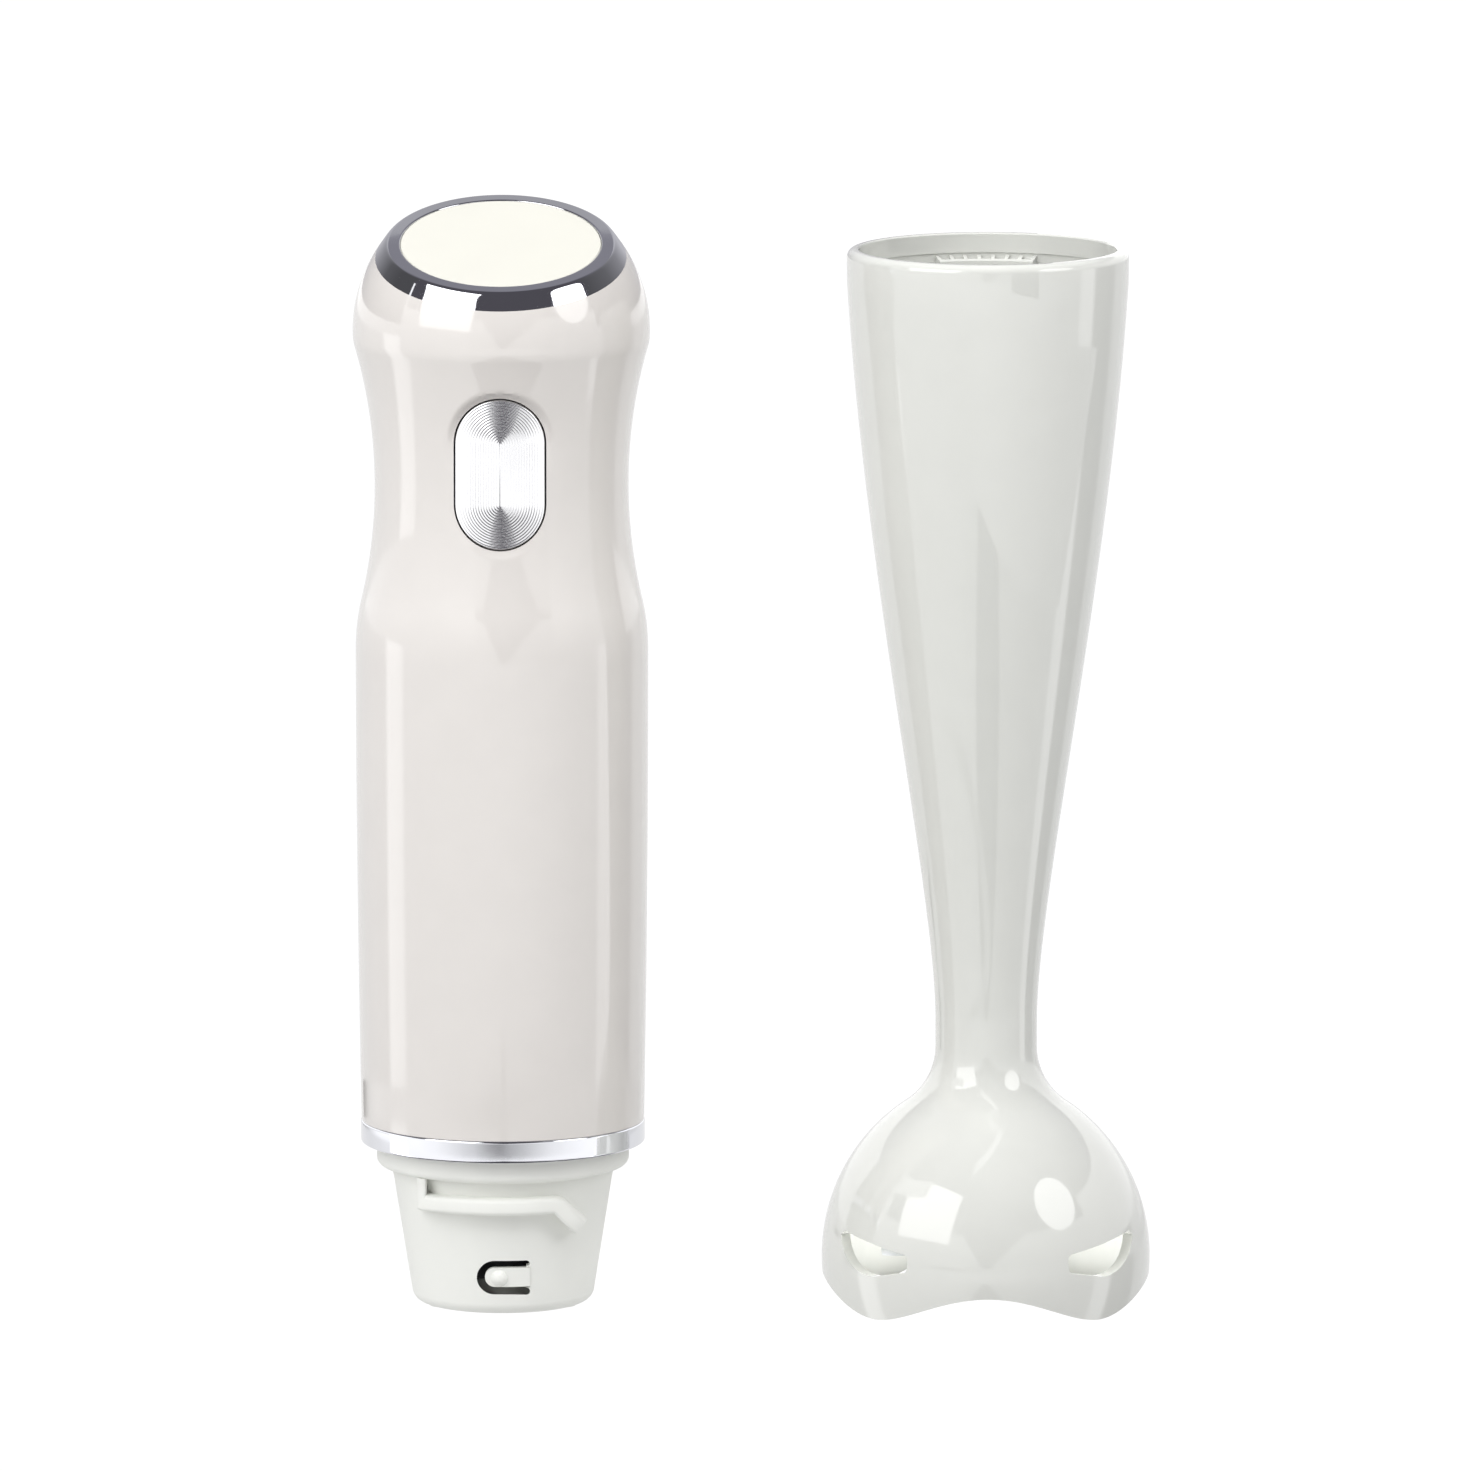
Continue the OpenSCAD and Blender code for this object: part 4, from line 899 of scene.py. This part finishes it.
def graded_cloth(name, stops, tint):
    """Lit cloth whose radiance follows (azimuth, radiance) stops round its own axis."""
    material = blank(name)
    tree = material.node_tree
    where = add(tree, "ShaderNodeTexCoord").outputs["Object"]
    around = add(tree, "ShaderNodeTexGradient", {"gradient_type": "RADIAL"}, {"Vector": where})
    ramp = add(tree, "ShaderNodeValToRGB", links={"Fac": around.outputs["Fac"]})
    elements = ramp.color_ramp.elements
    brightest = max(radiance for _, radiance in stops)
    for azimuth, radiance in stops:
        element = elements.new((0.25 + azimuth / 360) % 1)
        element.color = [radiance / brightest * c for c in tint[:3]] + [1]
    ends = min(stops, key=lambda stop: abs(stop[0] + 90))[1]  # the gradient starts and ends at -90
    for k in (0, len(elements) - 1):
        elements[k].color = [ends / brightest * c for c in tint[:3]] + [1]
    light = add(tree, "ShaderNodeEmission", {"Strength": brightest}, {"Color": ramp.outputs["Color"]})
    add(tree, "ShaderNodeOutputMaterial", links={"Surface": light.outputs["Emission"]})
    return material


def stage_mesh(name, points, faces, material):
    mesh = bpy.data.meshes.new(name)
    mesh.from_pydata(points, [], faces)
    mesh.materials.append(material)
    return object_of(name, mesh)


def mirrored_only(piece):
    """Seen in reflections, and nowhere else."""
    piece.visible_camera = False
    piece.visible_diffuse = False
    piece.visible_shadow = False
    piece.data.materials[0].cycles.emission_sampling = "NONE"
    return piece


tent_r = 2.0
tent_centre_z = 0.1
aimed_at = Vector((0, 0, 0.12))


def tent_height(elevation):
    """Height of the tent's wall at an elevation in degrees."""
    return tent_centre_z + tent_r * math.tan(math.radians(elevation))


def wall(name, stops, low, top, start=(-180, -180), end=(180, 180), radius=tent_r, x=0.0, tint="#FFFFFF"):
    """A curved strip between two heights; start and end are its azimuths at the low and top edges."""
    points = []
    for i in range(65):
        for side, height in ((0, low), (1, top)):
            azimuth = math.radians(start[side] + (end[side] - start[side]) * i / 64)
            points.append((radius * math.sin(azimuth), -radius * math.cos(azimuth), height))
    faces = [(2 * i, 2 * i + 2, 2 * i + 3, 2 * i + 1) for i in range(64)]
    piece = stage_mesh(name, points, faces, graded_cloth(name + "_cloth", stops, linear(tint)))
    piece.location.x = x
    return mirrored_only(piece)


# The tent, as (azimuth, radiance) stops: lit sides with two bright seams, and an even front
sides = [(80, 1.25), (83, 2.1), (95, 2.1), (99, 0.5), (123, 0.5), (128, 0.9), (150, 0.9), (179, 0.9),
         (-179, 0.9), (-153, 0.9), (-134, 0.9), (-104, 1.0), (-100, 2.4), (-86, 2.4), (-82, 1.25)]
front = [(-81, 1.25), (79, 1.25)]
# What the trim ring mirrors: dark in the middle, brighter to both sides
trim_glow = [(-150, 0.28), (-143, 0.28), (-130, 0.9), (-118, 1.22), (-111, 1.28), (-88, 1.3), (-68, 1.28),
             (-51, 1.19), (-36, 0.98), (-21, 0.78), (-8, 0.44), (-2, 0.38), (7, 0.55), (20, 0.74), (35, 1.0),
             (50, 1.15), (67, 1.26), (86, 1.3), (100, 1.0), (109, 0.76), (130, 0.8), (152, 0.94), (179, 0.7)]
# Over and under the front, and round the top ring
soft_front = [(-81, 1.25), (-30, 1.15), (-6, 0.9), (6, 0.85), (40, 0.95), (79, 1.25)]
ring_glow = [(-175, 0.42), (-155, 0.55), (-130, 0.3), (-110, 0.13), (-92, 0.09), (72, 0.1), (100, 0.16),
             (125, 0.3), (150, 0.6), (175, 0.42)]
band_low, band_top, horizon = tent_height(-12.5), tent_height(-4.5), tent_height(0)
sweep_low, panel_top, side_top = tent_height(-40), tent_height(17), tent_height(27)
handset = {"x": handset_x * MM}
tent = [
    wall("tent_wall", sides + front, band_low, band_top),
    wall("tent_sweep", sides, sweep_low, band_low, start=(80, 80), end=(278, 278)),
    wall("side_panels", sides, band_top, horizon, start=(80, 80), end=(278, 278)),
    wall("high_side_panels", front, horizon, side_top, start=(80, 80), end=(278, 278)),
    wall("sweep_left", soft_front, sweep_low, band_low, start=(-82, -82), end=(-34, -1.5)),
    wall("sweep_right", soft_front, sweep_low, band_low, start=(48, 1.5), end=(80, 80)),
    wall("panel_left", soft_front, band_top, panel_top, start=(-82, -82), end=(-1.5, -16)),
    wall("panel_right", soft_front, band_top, panel_top, start=(1.5, 30), end=(80, 80)),
    wall("trim_card", trim_glow, 0.003, 0.0112, start=(-150, -150), end=(165, 165), radius=0.2, **handset),
    wall("waist_flag_left", front, 0.14, 0.195, start=(-75, -75), end=(-20, -20), radius=0.12, **handset),
    wall("waist_flag_right", front, 0.14, 0.195, start=(38, 38), end=(82, 82), radius=0.12, **handset),
    wall("ring_flag", ring_glow, 0.206, 0.32, start=(71, 71), end=(286, 286), radius=0.11, tint="#FAF9FF",
         **handset),
]
# The floor: one sheet for the eye, and a dimmer one for the light that it throws back
paper = [(-6, -6, 0), (6, -6, 0), (6, 6, 0), (-6, 6, 0)]
floor = stage_mesh("sweep", paper, [(0, 1, 2, 3)], glow("overlit_white_paper", 1.05))
floor.location.z = -0.0005
floor.visible_glossy = False
floor.visible_diffuse = False
floor_bounce = stage_mesh("sweep_bounce", paper, [(0, 1, 2, 3)], glow("white_paper_bounce", 0.86))
floor_bounce.location.z = -0.001
floor_bounce.visible_glossy = False
floor_bounce.visible_camera = False


def aim(piece, azimuth, elevation, distance):
    """Puts a piece at a direction from the object and turns it to face the object."""
    a, e = math.radians(azimuth), math.radians(elevation)
    toward = Vector((math.sin(a) * math.cos(e), -math.cos(a) * math.cos(e), math.sin(e)))
    piece.location = toward * distance + aimed_at
    piece.rotation_euler = toward.to_track_quat("Z", "Y").to_euler()


def span(angle, distance):
    """Size in metres of what covers an angle in degrees at a distance."""
    return 2 * distance * math.tan(math.radians(angle / 2))


def box_front(name, azimuth, elevation, width, height, distance, radiance, corners=4):
    """The lit front of a softbox, as reflections show it; many corners make it round."""
    points = []
    for k in range(corners):
        angle = TAU * (k + 0.5) / corners
        reach = 0.5 / math.cos(math.pi / corners)
        points.append((span(width, distance) * reach * math.cos(angle),
                       span(height, distance) * reach * math.sin(angle), 0))
    piece = stage_mesh(name, points, [tuple(range(corners))], glow(name + "_cloth", radiance))
    aim(piece, azimuth, elevation, distance)
    return mirrored_only(piece)


def lamp(name, azimuth, elevation, width, height, distance, radiance):
    """The light that a softbox gives; width and height are the angles that it covers, in degrees."""
    data = bpy.data.lights.new(name, "AREA")
    data.shape = "RECTANGLE"
    data.size, data.size_y = span(width, distance), span(height, distance)
    data.energy = radiance * math.pi * data.size * data.size_y
    light = object_of(name, data)
    aim(light, azimuth, elevation, distance)
    light.visible_camera = False
    light.visible_glossy = False
    return light


# Azimuth, elevation, width and height in degrees, distance in metres, radiance. The round front of the
# right box has the area of its square lamp.
left_box = (-46, 26, 42, 34, 1.25, 3.4)
box_front("left_box_front", *left_box)
box_front("right_box_front", 60, 27, 30, 30, 1.25, 3.4, corners=48)
lamp("left_softbox", *left_box)
lamp("right_softbox", 60, 27, 27, 27, 1.25, 3.4)
lamp("overhead_silk", 0, 78, 80, 80, 1.2, 2.35)
lamp("left_fill", -62, 2, 60, 60, 1.6, 0.35)
bounce = lamp("bounce_under_bell", 0, -90, 4, 4, 0.5, 6.5)
bounce.location = (foot_x * MM, 0, MM)

# The eye sees a white backdrop; what mirrors and shadows see is a dim room, lighter towards the back
world = bpy.data.worlds.new("white_backdrop_dark_ceiling")
bpy.context.scene.world = world
world.use_nodes = True
world.node_tree.nodes.clear()
rays = add(world.node_tree, "ShaderNodeLightPath")
toward_sky = add(world.node_tree, "ShaderNodeTexCoord").outputs["Generated"]
axes = add(world.node_tree, "ShaderNodeSeparateXYZ", links={"Vector": toward_sky})
ceiling = add(world.node_tree, "ShaderNodeValToRGB", links={"Fac": axes.outputs["Y"]})
ceiling.color_ramp.elements[0].color = linear("#555359")
ceiling.color_ramp.elements[0].position = 0.05
ceiling.color_ramp.elements[1].color = linear("#8C8B93")
ceiling.color_ramp.elements[1].position = 0.5
dark = add(world.node_tree, "ShaderNodeBackground", {"Strength": 1.0}, {"Color": ceiling.outputs["Color"]})
white = add(world.node_tree, "ShaderNodeBackground", {"Color": (1, 1, 1, 1), "Strength": 1.02})
mixed = add(world.node_tree, "ShaderNodeMixShader")
for socket, source in enumerate((rays.outputs["Is Camera Ray"], dark.outputs[0], white.outputs[0])):
    world.node_tree.links.new(source, mixed.inputs[socket])
add(world.node_tree, "ShaderNodeOutputWorld", links={"Surface": mixed.outputs["Shader"]})

bpy.context.scene.view_settings.view_transform = "Standard"

# ---- Camera ----

camera_data = bpy.data.cameras.new("camera")
camera_data.sensor_width = 36
camera_data.lens = 428
camera_data.clip_end = 50
camera = bpy.data.objects.new("camera", camera_data)
bpy.context.scene.collection.objects.link(camera)
rise = math.radians(8.7)
aim = Vector((handset_x + 46.6, 0, 114.6)) * MM
away = Vector((0, -math.cos(rise), math.sin(rise)))
camera.location = aim + away * 3.5
camera.rotation_euler = away.to_track_quat("Z", "Y").to_euler()
bpy.context.scene.camera = camera
